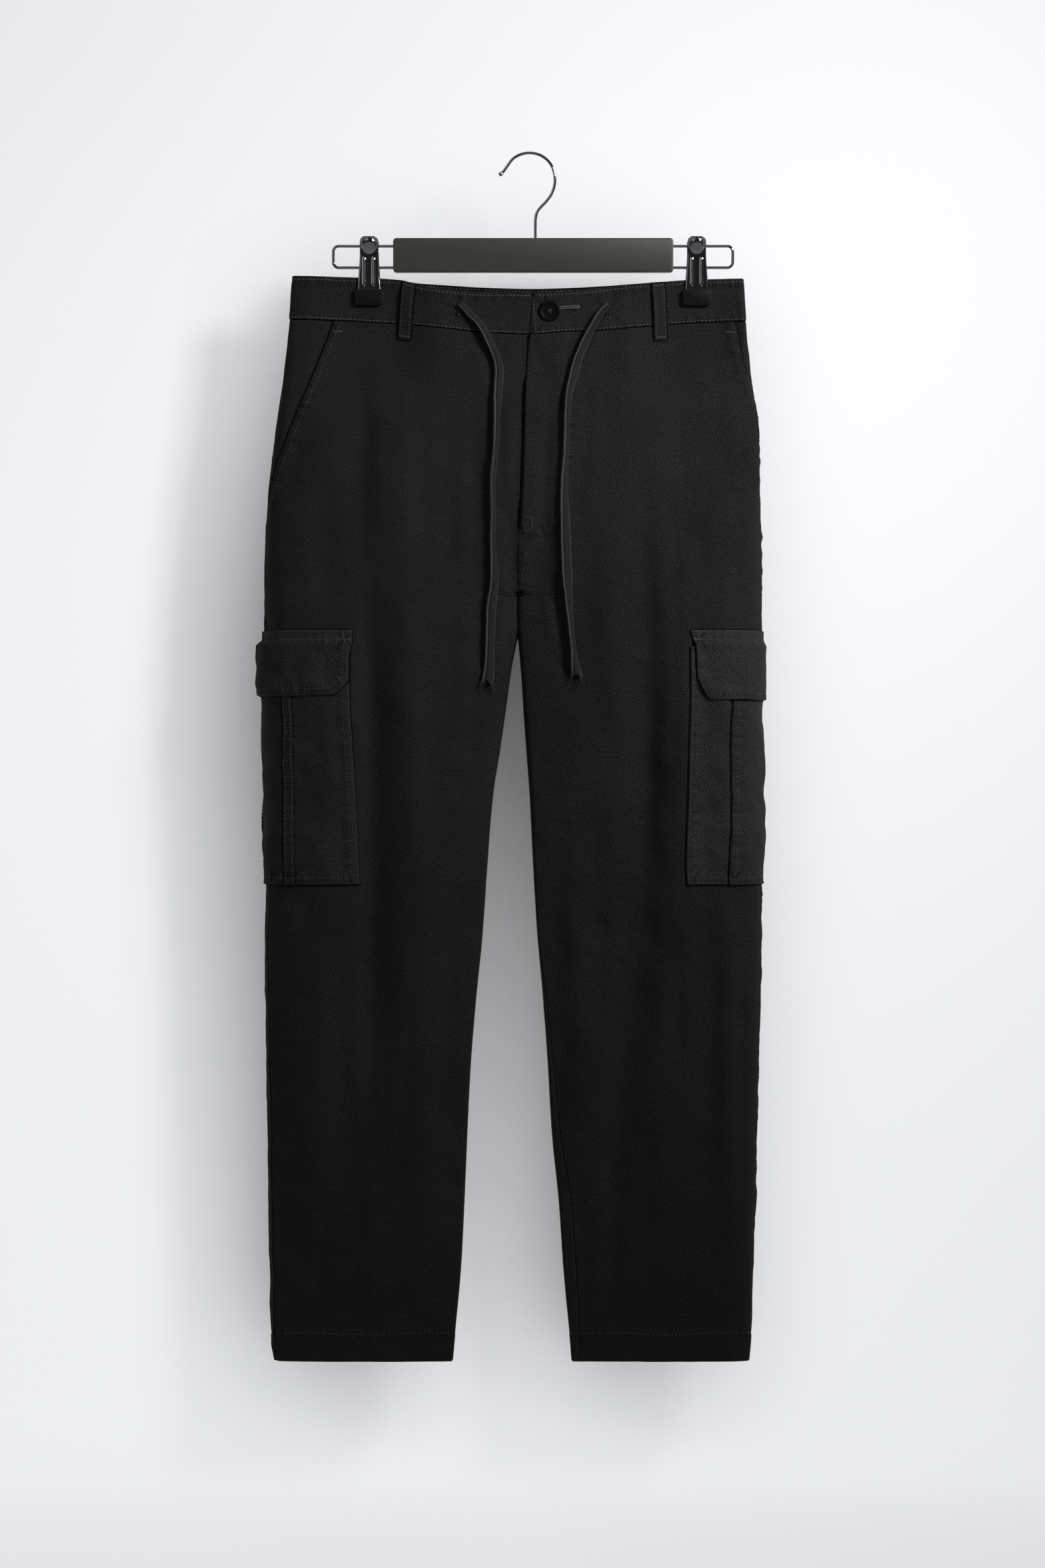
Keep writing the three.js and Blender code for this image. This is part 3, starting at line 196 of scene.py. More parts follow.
def unit(vectors):
    """Vectors brought to length 1."""
    return vectors / np.maximum(np.linalg.norm(vectors, axis=-1, keepdims=True), 1e-9)


def piece(name, points, faces, material, uv=None, layers=None):
    """A smooth mesh from points in millimetres that rides on the part's one body."""
    mesh = bpy.data.meshes.new(name)
    mesh.from_pydata((np.asarray(points) / 1000).tolist(), [], np.asarray(faces, object).tolist())
    build = bmesh.new()
    build.from_mesh(mesh)
    bmesh.ops.recalc_face_normals(build, faces=build.faces)
    build.to_mesh(mesh)
    build.free()
    mesh.polygons.foreach_set("use_smooth", np.ones(len(mesh.polygons), bool))
    corners = np.empty(len(mesh.loops), np.int32)
    mesh.loops.foreach_get("vertex_index", corners)
    if uv is not None:
        layer = mesh.uv_layers.new(name="cloth")
        layer.data.foreach_set("uv", (np.asarray(uv) / 1000)[corners].ravel())
    for layer_name, values in (layers or {}).items():
        layer = mesh.attributes.new(layer_name, "FLOAT", "POINT")
        layer.data.foreach_set("value", np.asarray(values, np.float32))
    mesh.materials.append(material)
    made = bpy.data.objects.new(name, mesh)
    bpy.context.collection.objects.link(made)
    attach(made, "root")
    return made


def along_route(route, count):
    """Points and directions at even spacing along a smooth curve through a route, in millimetres."""
    knots = np.asarray(route, float)
    padded = np.vstack([2 * knots[0] - knots[1], knots, 2 * knots[-1] - knots[-2]])
    share = np.linspace(0, 1, 40, endpoint=False)[:, None]
    runs = []
    for a, b, c, d in zip(padded, padded[1:], padded[2:], padded[3:]):
        cubic = (-a + 3 * b - 3 * c + d) * share ** 3 + (2 * a - 5 * b + 4 * c - d) * share ** 2
        runs.append(0.5 * (2 * b + (c - a) * share + cubic))
    dense = np.vstack([*runs, knots[-1:]])
    reach = np.concatenate([[0], np.cumsum(np.linalg.norm(np.diff(dense, axis=0), axis=1))])
    at = np.linspace(0, reach[-1], count)
    points = np.stack([np.interp(at, reach, dense[:, k]) for k in range(3)], 1)
    return points, unit(np.gradient(points, axis=0)), at


def ring_faces(rings, sides, start=0):
    """Quads between closed rings of points."""
    index = start + np.arange(rings * sides).reshape(rings, sides)
    after = np.roll(index, -1, axis=1)
    return np.stack([index[:-1], after[:-1], after[1:], index[1:]], -1).reshape(-1, 4).tolist()


def capped_rings(rings, sides):
    """The same with a face over each end."""
    ends = [list(range(sides)), list(range((rings - 1) * sides, rings * sides))]
    return ring_faces(rings, sides) + ends


def tape_outline(width, thick, cup, sides=48):
    """Cross-section of the folded tape: cupped, with a stitched groove inside its beaded edge."""
    turn = np.linspace(0, 2 * np.pi, sides, endpoint=False)
    across = np.sign(np.cos(turn)) * np.abs(np.cos(turn)) ** 0.6 * width / 2
    out = np.sign(np.sin(turn)) * np.abs(np.sin(turn)) ** 0.7 * thick / 2
    share = 2 * across / width
    bead = 0.55 * np.exp(-((share - 0.76) / 0.2) ** 2) + 0.2 * np.exp(-((share + 0.86) / 0.16) ** 2)
    groove = 0.5 * np.exp(-((share - TAPE_LAYER_EDGE) / 0.1) ** 2)
    out = out + np.sign(np.sin(turn)) * (bead - groove) * (np.abs(share) < 0.985)
    return across, out + cup * (share ** 2 - 0.33), share


# How each tape narrows, turns and thickens on its way: distance from the eyelet, share of its full
# width, turn about its own line in degrees, and thickness
RIGHT_TAPE_FORM = [
    (0, 0.5, -20, 3.0), (14, 0.7, -30, 2.6), (40, 0.86, -42, 2.2), (62, 0.8, -30, 2.0),
    (84, 0.95, -24, 1.6), (110, 0.9, -44, 2.0), (150, 0.8, -56, 2.2), (200, 0.78, -60, 2.4),
    (240, 0.8, -52, 2.2), (272, 0.9, -34, 1.7), (300, 0.98, -20, 1.7), (330, 0.95, -32, 1.8),
    (356, 1, -18, 2.2), (370, 1.1, -6, 5.2),
]
LEFT_TAPE_FORM = [
    (0, 0.5, -24, 3.0), (14, 0.74, -40, 2.6), (44, 0.86, -34, 2.2), (72, 0.95, -30, 1.7),
    (104, 0.84, -50, 2.2), (150, 0.86, -56, 2.2), (190, 0.95, -40, 1.8), (225, 1.02, -30, 1.5),
    (262, 1.02, -28, 1.5), (300, 0.84, -48, 2.0), (334, 0.76, -54, 2.4), (352, 0.95, -20, 2.6),
    (360, 1.1, 10, 5.6),
]


def tape(name, route, form, notch):
    """A folded tape along its route, with a hollow cut end whose rim is notched."""
    route = np.asarray(route) * 1000
    count = int(np.linalg.norm(np.diff(route, axis=0), axis=1).sum() / TAPE_STEP)
    centres, way, at = along_route(route, count)
    form = np.asarray(form, float)
    shares, turns, thick = (np.interp(at, form[:, 0], form[:, k]) for k in (1, 2, 3))
    rings, uv, wear_and_shade = [], [], []
    for centre, along, reach, share, turn, depth in zip(centres, way, at, shares, turns, thick):
        side = unit(np.cross((0, 1, 0), along))
        front = np.cross(along, side)
        lean = math.radians(turn)
        centre = centre - np.array([0, 1, 0]) * TAPE_WIDTH / 2 * share * abs(math.sin(lean)) * TAPE_STAND
        across = side * math.cos(lean) + front * math.sin(lean)
        out = np.cross(along, across)
        ripple = 0.25 * math.sin(reach / 5.1) + 0.2 * math.sin(reach / 2.3 + 1)
        cup = 0.9 * math.sin(reach / 31 + notch) + 0.3 * math.sin(reach / 9)
        w, h, off = tape_outline(TAPE_WIDTH * share + ripple, depth, cup)
        rings.append(centre + across * w[:, None] + out * h[:, None])
        uv.append(np.stack([w, np.full_like(w, reach)], 1))
        # Paler along the beaded edges; painted shade darkens the stitched groove inside the bead
        bright = 0.5 * np.exp(-((off - 0.78) / 0.16) ** 2) + 0.25 * np.exp(-((off + 0.88) / 0.12) ** 2)
        wear_and_shade.append(bright - 0.9 * np.exp(-((off - TAPE_LAYER_EDGE) / 0.09) ** 2))
    sides = len(rings[0])
    share = 2 * w / (w.max() - w.min())
    front_side = np.sin(np.linspace(0, 2 * np.pi, sides, endpoint=False)) < 0
    jag = np.array([threads.uniform(0, 0.7) for _ in share])
    rings[-1] = rings[-1] - way[-1] * (notch * (1 - np.abs(share)) * front_side + jag)[:, None]
    rim = rings[-1]
    # Inner rings of the hollow cut end, darkened with painted shade
    for back in range(7):
        source = rings[count - 1 - back]
        middle = source.mean(0)
        rings.append(middle + (source - middle) * (1 - TAPE_WALL / 2.2))
        uv.append(uv[count - 1 - back])
        wear_and_shade.append(np.full(sides, -0.7))
    points = np.vstack(rings)
    faces = capped_rings(len(rings), sides)
    made = piece(
        name, points, faces, folded_tape_cotton, np.vstack(uv), {"wear_and_shade": np.concatenate(wear_and_shade)})
    frays, fray_faces = [], []
    for number in range(FRAYS):
        root = rim[threads.randrange(sides)]
        aim = unit(way[-1] * 1.1 + np.array([threads.gauss(0, 0.6) for _ in range(3)]))
        curl = np.array([threads.gauss(0, 1) for _ in range(3)]) * 2.2
        reach = threads.uniform(2.5, 10.0)
        line = [root + aim * reach * t + curl * t * t for t in np.linspace(-0.1, 1, 7)]
        for k, middle in enumerate(line):
            for swing in (0, 2.09, 4.19):
                thick = FRAY_RADIUS * (1 - 0.08 * k)
                around = np.array([math.cos(swing), math.sin(swing), 0.3 * math.sin(swing)])
                frays.append(middle + thick * around)
        fray_faces += ring_faces(7, 3, number * 21)
    piece(f"{name}_frayed_threads", frays, fray_faces, loose_cotton_yarn, np.zeros((len(frays), 2)))
    return made, centres / 1000


FRAYS = 22
FRAY_RADIUS = 0.3
threads = random.Random(7)
right_cord, right_path = tape("drawcord_tape_right", RIGHT_TAPE, RIGHT_TAPE_FORM, 5.0)
left_cord, left_path = tape("drawcord_tape_left", LEFT_TAPE, LEFT_TAPE_FORM, 2.5)
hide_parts("drawcord_right")
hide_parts("drawcord_left")

# Cloth of the legs
# Black cotton twill of about 280 g/m2, hung flat from the clips. Each leg is one tube of cloth with
# a fold down its outer and its inner side, and the hips are both tubes joined at the centre. Every
# panel, pocket and flap below is a stretch of it, given by its height and by its arc length ahead
# of the outer fold.
WAIST_TOP = -115.0
BAND_SEAM = -156.0
SLANT_END = -330.0
FACING_END = -314.0
CROTCH = -414.7
LEGS_PART = -444.7
FLAP_TOP = -447.2
POCKET_TOP = -463.0
POCKET_BOTTOM = -684.0
HEM_SEAM = -1104.0
HEM_BOTTOM = -1130.3
SAG_FADE = 150.0
SAG_DEPTH = 16.0
TOUCH = 0.8
CROTCH_RISE = 140.0
RISE_POWER = 1.3
BELLY_POWER = 3.4
INNER_FOLD = 0.1
INNER_LEVEL = 0.5
CREASE_EDGE = 38.0
CREASE_FADE = 0.3
HALF_GAP = 0.15
LAP = 0.35
CLIPS_X = (-150.3, 156.6)
PINCH_HALF_DEPTH = 3.1
PINCH_FLAT = 17.0
PINCH_FADE = 54.0
PINCH_DROP = 95.0
PINCH_EDGE = 10.0


def table(names, rows):
    """A table whose columns are read by name."""
    return dict(zip(names.split(), np.asarray(rows, float).T))


CENTRE_LINE = table("z x", [
    (-115, 5), (-156, 1.2), (-205, -2.2), (-293, -4.7), (-345, -7.2), (-387, -10.9), (-444.7, -10.9),
])
BAND_LINE = table("x top seam back_top back_seam", [
    (-226, -114.1, -155.6, -114.1, -155.6), (-184, -115.4, -157.2, -114.8, -156.3),
    (-150, -116.6, -159.2, -115.6, -157.4), (-122, -118.6, -161.2, -117.4, -158.8),
    (-105, -124.4, -162.5, -118.9, -160), (-75, -128.8, -165.6, -121, -162),
    (-42, -131.3, -169.1, -123, -163.8), (3, -131.5, -170.9, -124.2, -164.8),
    (37, -129.7, -168.4, -123.4, -164), (67, -126.9, -167.2, -121.9, -162.6),
    (97, -123.3, -164.6, -119.9, -160.8), (122, -121.3, -162.7, -118.3, -159.4),
    (157, -118.2, -159.7, -116.9, -158), (206, -116.6, -157.2, -116.6, -157.2),
])
SECTION = "z outer inner front back edge seam inseam"
RIGHT_SECTIONS = table(SECTION, [
    (-115, -222.5, 5, 14, 14, 4.5, 3.5, 0),
    (-156, -225, 1.2, 17, 17, 6, 3.5, 0),
    (-205, -230.3, -2.2, 25, 26, 9, 3.5, 0),
    (-262, -238.4, -4.1, 32, 34, 12, 3.5, 0),
    (-324, -245.3, -6, 37, 40, 14, 4, 0),
    (-387, -248.4, -10.9, 41, 44, 17, 7, 0),
    (-444.7, -248.4, -10.9, 43, 45, 19, 10.5, 0),
    (-480, -248.4, -16.6, 43, 45, 19, 11, 0),
    (-543, -247.9, -25.3, 41, 43, 19, 12, 0),
    (-605, -245.8, -34.6, 38, 40, 18, 13, 0),
    (-668, -245.9, -39.7, 34, 36, 17, 14, 0),
    (-730, -248.3, -44.1, 31, 33, 15, 13, 0),
    (-793, -247.8, -50.3, 29, 30, 14, 13, 0.5),
    (-855, -246.6, -55.3, 27, 28, 13, 12.5, 1),
    (-918, -245.9, -58.4, 24, 25, 12, 12, 2),
    (-980, -244.7, -60.9, 21, 22, 11, 11, 3),
    (-1043, -243.4, -64.1, 18, 18, 10, 10, 4.5),
    (-1104, -242.2, -69.7, 15, 15, 8, 8, 6),
    (-1130.3, -239.4, -72, 14, 14, 7, 6.5, 6.5),
])
LEFT_SECTIONS = table(SECTION, [
    (-115, 200.5, 5, 14, 14, 4.5, -28, 0),
    (-156, 203, 1.2, 17, 17, 6, -28, 0),
    (-205, 207.6, -2.2, 25, 26, 9, -22, 0),
    (-262, 215, -4.1, 32, 34, 12, -22, 0),
    (-324, 216.4, -6, 37, 40, 14, -18, 0),
    (-387, 217.9, -10.9, 41, 44, 17, -10, 0),
    (-444.7, 217.8, -10.9, 43, 45, 19, -3, 0),
    (-480, 215.8, -8.4, 43, 45, 19, -3, 0),
    (-543, 215.9, -4.2, 41, 43, 19, -3, 0),
    (-605, 216.4, 0.3, 38, 40, 18, -2.5, 6),
    (-668, 217, 3.4, 34, 36, 17, -1.5, 18),
    (-730, 217.8, 7.2, 31, 33, 15, 4, 22.5),
    (-793, 216.6, 12.8, 29, 30, 14, 7, 23.5),
    (-855, 214.7, 17.2, 27, 28, 13, 4, 24.5),
    (-918, 213.4, 20.9, 24, 25, 12, 0, 25.5),
    (-980, 211.6, 27.2, 21, 22, 11, -3, 27),
    (-1043, 209.7, 31.6, 18, 18, 10, -3, 25.5),
    (-1104, 207.8, 37.2, 15, 15, 8, -3, 20),
    (-1130.3, 206.4, 39.7, 14, 14, 7, -3, 17),
])

# The largest folds, as in the solid: line from top to bottom, half width, how far it stands out
FOLD = "x0 z0 x1 z1 width out bend"
FRONT_FOLDS = table(FOLD, [
    (-158, -150, -160, -420, 20, -5, 0), (-192, -280, -188, -450, 15, -4, 0),
    (-132, -200, -112, -640, 20, 4, 0), (-143, -400, -142, -900, 15, -6, 0),
    (-100, -560, -98, -1060, 24, 4, 0), (-205, -700, -196, -1080, 18, 2.5, 0),
    (76, -290, 78, -560, 15, 4, 0), (112, -400, 88, -1060, 19, -7, 0),
    (150, -170, 146, -440, 18, -4.5, 0), (140, -430, 150, -860, 14, 4.5, 0),
    (183, -330, 188, -1060, 15, 4, 0), (40, -620, 52, -1020, 16, 3, 0),
])
BACK_FOLDS = table(FOLD, [
    (-152, -150, -148, -430, 20, -5, 0), (-100, -210, -104, -680, 22, 4.5, 0),
    (-136, -460, -150, -1000, 18, -6, 0), (-186, -560, -180, -1060, 16, 3, 0),
    (-40, -330, -60, -560, 14, -4, 0), (154, -150, 150, -440, 20, -5, 0),
    (100, -220, 110, -720, 22, 4, 0), (138, -500, 120, -1050, 18, -6, 0),
    (66, -640, 84, -1040, 18, 3.5, 0), (24, -330, 46, -560, 14, -4, 0),
])

# Smaller creases, placed one by one: bend is how far the middle of the line lies off the straight one
FRONT_CREASES = table(FOLD, [
    (-120, -176, -124, -330, 7, 0.9, 3), (-148, -215, -150, -380, 8, -1.2, -4),
    (-176, -190, -170, -300, 9, 0.8, 5), (-84, -190, -78, -420, 10, -0.9, 5),
    (-52, -300, -60, -520, 9, 1.1, -4), (-26, -400, -54, -560, 7, -1.3, -6),
    (-14, -372, -36, -500, 5, 1.5, -3), (-30, -430, -84, -640, 8, 1.3, -8),
    (-120, -690, -132, -960, 7, 1.2, 5), (-170, -720, -164, -980, 9, -1.4, -5),
    (-222, -760, -214, -1010, 8, 1.0, 4), (-78, -700, -86, -950, 8, -1.2, 4),
    (-150, -900, -138, -1120, 9, 1.4, -4), (-190, -950, -204, -1125, 8, -0.9, 3),
    (18, -380, 40, -520, 6, -1.2, 4), (8, -392, 22, -470, 4, 1.4, 2),
    (4, -384, 10, -440, 3, -0.7, 1), (62, -320, 66, -500, 8, 1.1, 3),
    (118, -290, 128, -470, 8, 0.9, -4), (134, -300, 131, -660, 5, -1.8, 3),
    (133, -676, 142, -752, 2.6, 1.2, 1), (142, -752, 150, -843, 2.6, 1.0, 1),
    (96, -520, 104, -760, 9, 1.0, -6), (56, -560, 62, -830, 8, -1.2, 5),
    (186, -690, 191, -1072, 8, 1.8, -3), (166, -700, 160, -1060, 10, -1.8, 4),
    (120, -830, 130, -1100, 8, 1.2, -6), (70, -930, 60, -1120, 8, 1.1, 3),
    (196, -196, 192, -330, 8, 1.0, -3), (176, -180, 168, -300, 8, -1.0, 4),
    (10, -205, 3, -338, 5, 1.4, 3), (33, -240, 30, -350, 5, 1.2, 0), (-20, -220, -21, -348, 6, 1.3, 0),
    (-27, -228, -27, -345, 5, -1.5, 0), (0, -366, 13, -424, 3.6, -1.3, 1), (6, -380, 44, -456, 5, -1.8, -3),
    (0, -366, 29, -440, 4, 1.5, -1), (-17, -330, -17, -430, 5, -1.6, 1), (-26, -340, -31, -490, 6, 1.6, 1),
    (110, -270, 108, -700, 10, -3.6, 0), (136, -280, 110, -960, 12, 2.8, 8),
    (90, -760, 72, -1100, 9, -3.4, 0), (-149, -330, -150, -960, 9, -4.2, 0),
    (-115, -230, -106, -720, 11, 2.6, 0), (-36, -640, -62, -1010, 9, 1.5, 0),
    (14, -220, 13, -430, 7, -2.6, 0), (33, -260, 31, -470, 8, 1.6, 0),
    (-52, -220, -51, -470, 7, -2.4, 0), (-33, -250, -33, -480, 7, 1.4, 0),
    (46, -180, 38, -300, 6, 1.0, 2), (54, -190, 48, -330, 6, -1.1, 2), (-46, -176, -44, -262, 5, 1.0, 1),
])
# Short creases that run more or less across, by their two ends, half width and depth
ACROSS = "x0 z0 x1 z1 width out"
FRONT_CROSSINGS = table(ACROSS, [
    (0, -172, 29, -201, 4, -1.0), (-4, -166, 10, -190, 4, 0.8), (-60, -168, -38, -190, 4, 0.8),
    (22, -914.7, 40, -917.8, 2.2, 1.2), (40, -917.8, 63, -922.8, 2.4, 0.8),
    (17.8, -818.4, 72, -817, 3.5, 0.6), (83, -467, 120, -479, 3.2, 1.2),
    (-10, -443, 15, -442, 3.4, -1.2), (-4, -368, 23, -369, 2.6, 1.2),
    (-14, -425, 8, -428, 3, 1.0), (-223, -812, -165, -809, 4, 0.5),
    (-226, -980, -190, -985, 4, 0.6), (-60, -470, -22, -452, 4, 0.9),
    (10, -470, 46, -486, 4, -0.9), (-70, -560, -36, -545, 4, 0.7),
    (150, -912, 200, -905, 5, 0.6), (-96, -760, -52, -752, 5, 0.5),
    (22, -1010, 52, -1006, 4, 0.6), (-110, -1010, -70, -1016, 4, 0.5),
])
BACK_CREASES = table(FOLD, [
    (-120, -180, -128, -340, 8, 1.1, 4), (-64, -190, -70, -390, 9, -1.2, -5),
    (-182, -200, -176, -330, 8, 0.9, 4), (-26, -380, -58, -560, 7, -1.9, -6),
    (-16, -400, -34, -500, 5, 1.6, -3), (-120, -560, -114, -820, 8, 1.1, 6),
    (-168, -700, -172, -960, 9, -1.3, -5), (-84, -760, -92, -1010, 8, 1.2, 4),
    (-212, -820, -206, -1090, 8, 1.0, -3), (16, -386, 46, -548, 7, -1.8, 5),
    (8, -400, 26, -486, 5, 1.5, 3), (70, -200, 66, -390, 9, 1.1, -5),
    (128, -190, 134, -350, 8, -1.0, 4), (84, -520, 78, -800, 8, 1.2, -6),
    (160, -560, 168, -900, 9, 1.3, 5), (104, -840, 96, -1090, 8, -1.3, 4),
    (186, -880, 180, -1100, 8, 1.1, -3), (46, -700, 56, -960, 8, 1.0, 4),
])
BACK_CROSSINGS = table(ACROSS, [
    (-180, -800, -110, -812, 5, 1.1), (-160, -826, -96, -838, 5, -1.0),
    (-190, -850, -140, -846, 4, 0.8), (60, -806, 130, -796, 5, 1.1),
    (76, -832, 150, -822, 5, -1.0), (100, -856, 150, -862, 4, 0.8),
    (-60, -452, -18, -438, 4, 1.3), (10, -440, 52, -456, 4, 1.3),
    (-66, -482, -22, -462, 5, -1.0), (8, -466, 50, -484, 5, -1.0),
    (-120, -1030, -80, -1024, 4, 0.6), (90, -1016, 140, -1022, 4, 0.7),
])
RING_STEPS = 240
HEIGHT_STEP = 2.5
ARC_STEP = 1.0
ARC_REACH = 300.0


def read(rows, key, column, at):
    """Smooth reading of a table's column along its key, with no overshoot."""
    keys, values = rows[key], rows[column]
    if keys[0] > keys[-1]:
        keys, values = keys[::-1], values[::-1]
    rise = np.diff(values) / np.diff(keys)
    before, after = rise[:-1], rise[1:]
    same = before * after > 0
    inner = np.where(same, 2 * before * after / np.where(same, before + after, 1), 0)
    slopes = np.concatenate([rise[:1], inner, rise[-1:]])
    at = np.clip(at, keys[0], keys[-1])
    i = np.clip(np.searchsorted(keys, at, side="right") - 1, 0, len(keys) - 2)
    span = keys[i + 1] - keys[i]
    t = (at - keys[i]) / span
    start = (1 + 2 * t) * (1 - t) ** 2 * values[i] + t * (1 - t) ** 2 * span * slopes[i]
    return start + t * t * (3 - 2 * t) * values[i + 1] + t * t * (t - 1) * span * slopes[i + 1]


def joined(z):
    """How far the legs have become one tube at a height: 0 in the legs, 1 at the hips."""
    return np.clip((z - CROTCH) / CROTCH_RISE, 0, 1) ** RISE_POWER


def pinch(x, z):
    """How firmly a clip presses the cloth flat at a place."""
    nearest = np.minimum(np.abs(x - CLIPS_X[0]), np.abs(x - CLIPS_X[1]))
    return (1 - ease((nearest - PINCH_FLAT) / PINCH_FADE)) * (1 - ease((BAND_SEAM - z) / PINCH_DROP))


def folded(folds, x, z):
    """How far the folds of a table, which run down the cloth, move it outwards."""
    depth = np.zeros(np.broadcast(x, z).shape)
    for x0, z0, x1, z1, width, out, bend in zip(*(folds[name] for name in FOLD.split())):
        t = (z - z0) / (z1 - z0)
        window = ease(t / CREASE_FADE) * ease((1 - t) / CREASE_FADE)
        line = x0 + (x1 - x0) * t + bend * np.sin(np.pi * np.clip(t, 0, 1))
        depth += out * window * np.exp(-((x - line) / width) ** 2)
    return depth


def crossed(creases, x, z):
    """The same for short creases that run across it."""
    depth = np.zeros(np.broadcast(x, z).shape)
    for x0, z0, x1, z1, width, out in zip(*(creases[name] for name in ACROSS.split())):
        run = math.hypot(x1 - x0, z1 - z0)
        along = ((x - x0) * (x1 - x0) + (z - z0) * (z1 - z0)) / run ** 2
        off = ((x - x0) * (z1 - z0) - (z - z0) * (x1 - x0)) / run
        window = ease(along / 0.4) * ease((1 - along) / 0.4)
        depth += out * window * np.exp(-(off / width) ** 2)
    return depth


def rippled(x, z, seed):
    """Small uneven waves of cloth that hangs, in long runs down it."""
    turn = np.array([0.7, 2.1, 4.4, 5.3, 1.2]) + seed
    waves = 0.34 * np.sin(x / 8.3 + 0.9 * np.sin(z / 71 + turn[0]) + turn[1])
    waves = waves + 0.26 * np.sin(x / 4.9 - z / 160 + turn[2])
    waves = waves + 0.22 * np.sin(z / 13.5 + 1.4 * np.sin(x / 31 + turn[3]) + turn[4])
    return waves * (0.55 + 0.45 * np.sin(z / 97 + x / 61 + seed))


def rumpled(across, down, seed, height=1.0):
    """Soft dents and swellings of worn cloth, in all directions and unevenly spread."""
    chance = random.Random(seed)
    total, calm = np.zeros(np.broadcast(across, down).shape), 0.0
    for number in range(12):
        length = 15 * 1.16 ** number
        turn, phase = chance.uniform(0, math.pi), chance.uniform(0, 2 * math.pi)
        along = across * math.cos(turn) + down * math.sin(turn)
        bent = 1.1 * np.sin((down * math.cos(turn) - across * math.sin(turn)) / (0.6 * length) + 2 * phase)
        total = total + RUMPLE * length * np.sin(2 * math.pi * along / length + bent + phase)
        if number % 4 == 3:
            calm = calm + np.sin((across * math.sin(turn) + down * math.cos(turn)) / (1.3 * length) + phase)
    return height * total * (0.62 + 0.2 * calm)


RUMPLE = 0.0065


def sagged(x, z, behind):
    """Height of the cloth: the waist sags between the clips, less and less down to the hips."""
    moves = []
    for top, seam in (("top", "seam"), ("back_top", "back_seam")):
        at_top = read(BAND_LINE, "x", top, x) - WAIST_TOP
        at_seam = read(BAND_LINE, "x", seam, x) - BAND_SEAM
        share = np.clip((z - BAND_SEAM) / (WAIST_TOP - BAND_SEAM), 0, 1)
        moves.append((at_seam + (at_top - at_seam) * share) * (1 - ease((BAND_SEAM - z) / SAG_FADE)))
    return z + moves[0] + (moves[1] - moves[0]) * behind


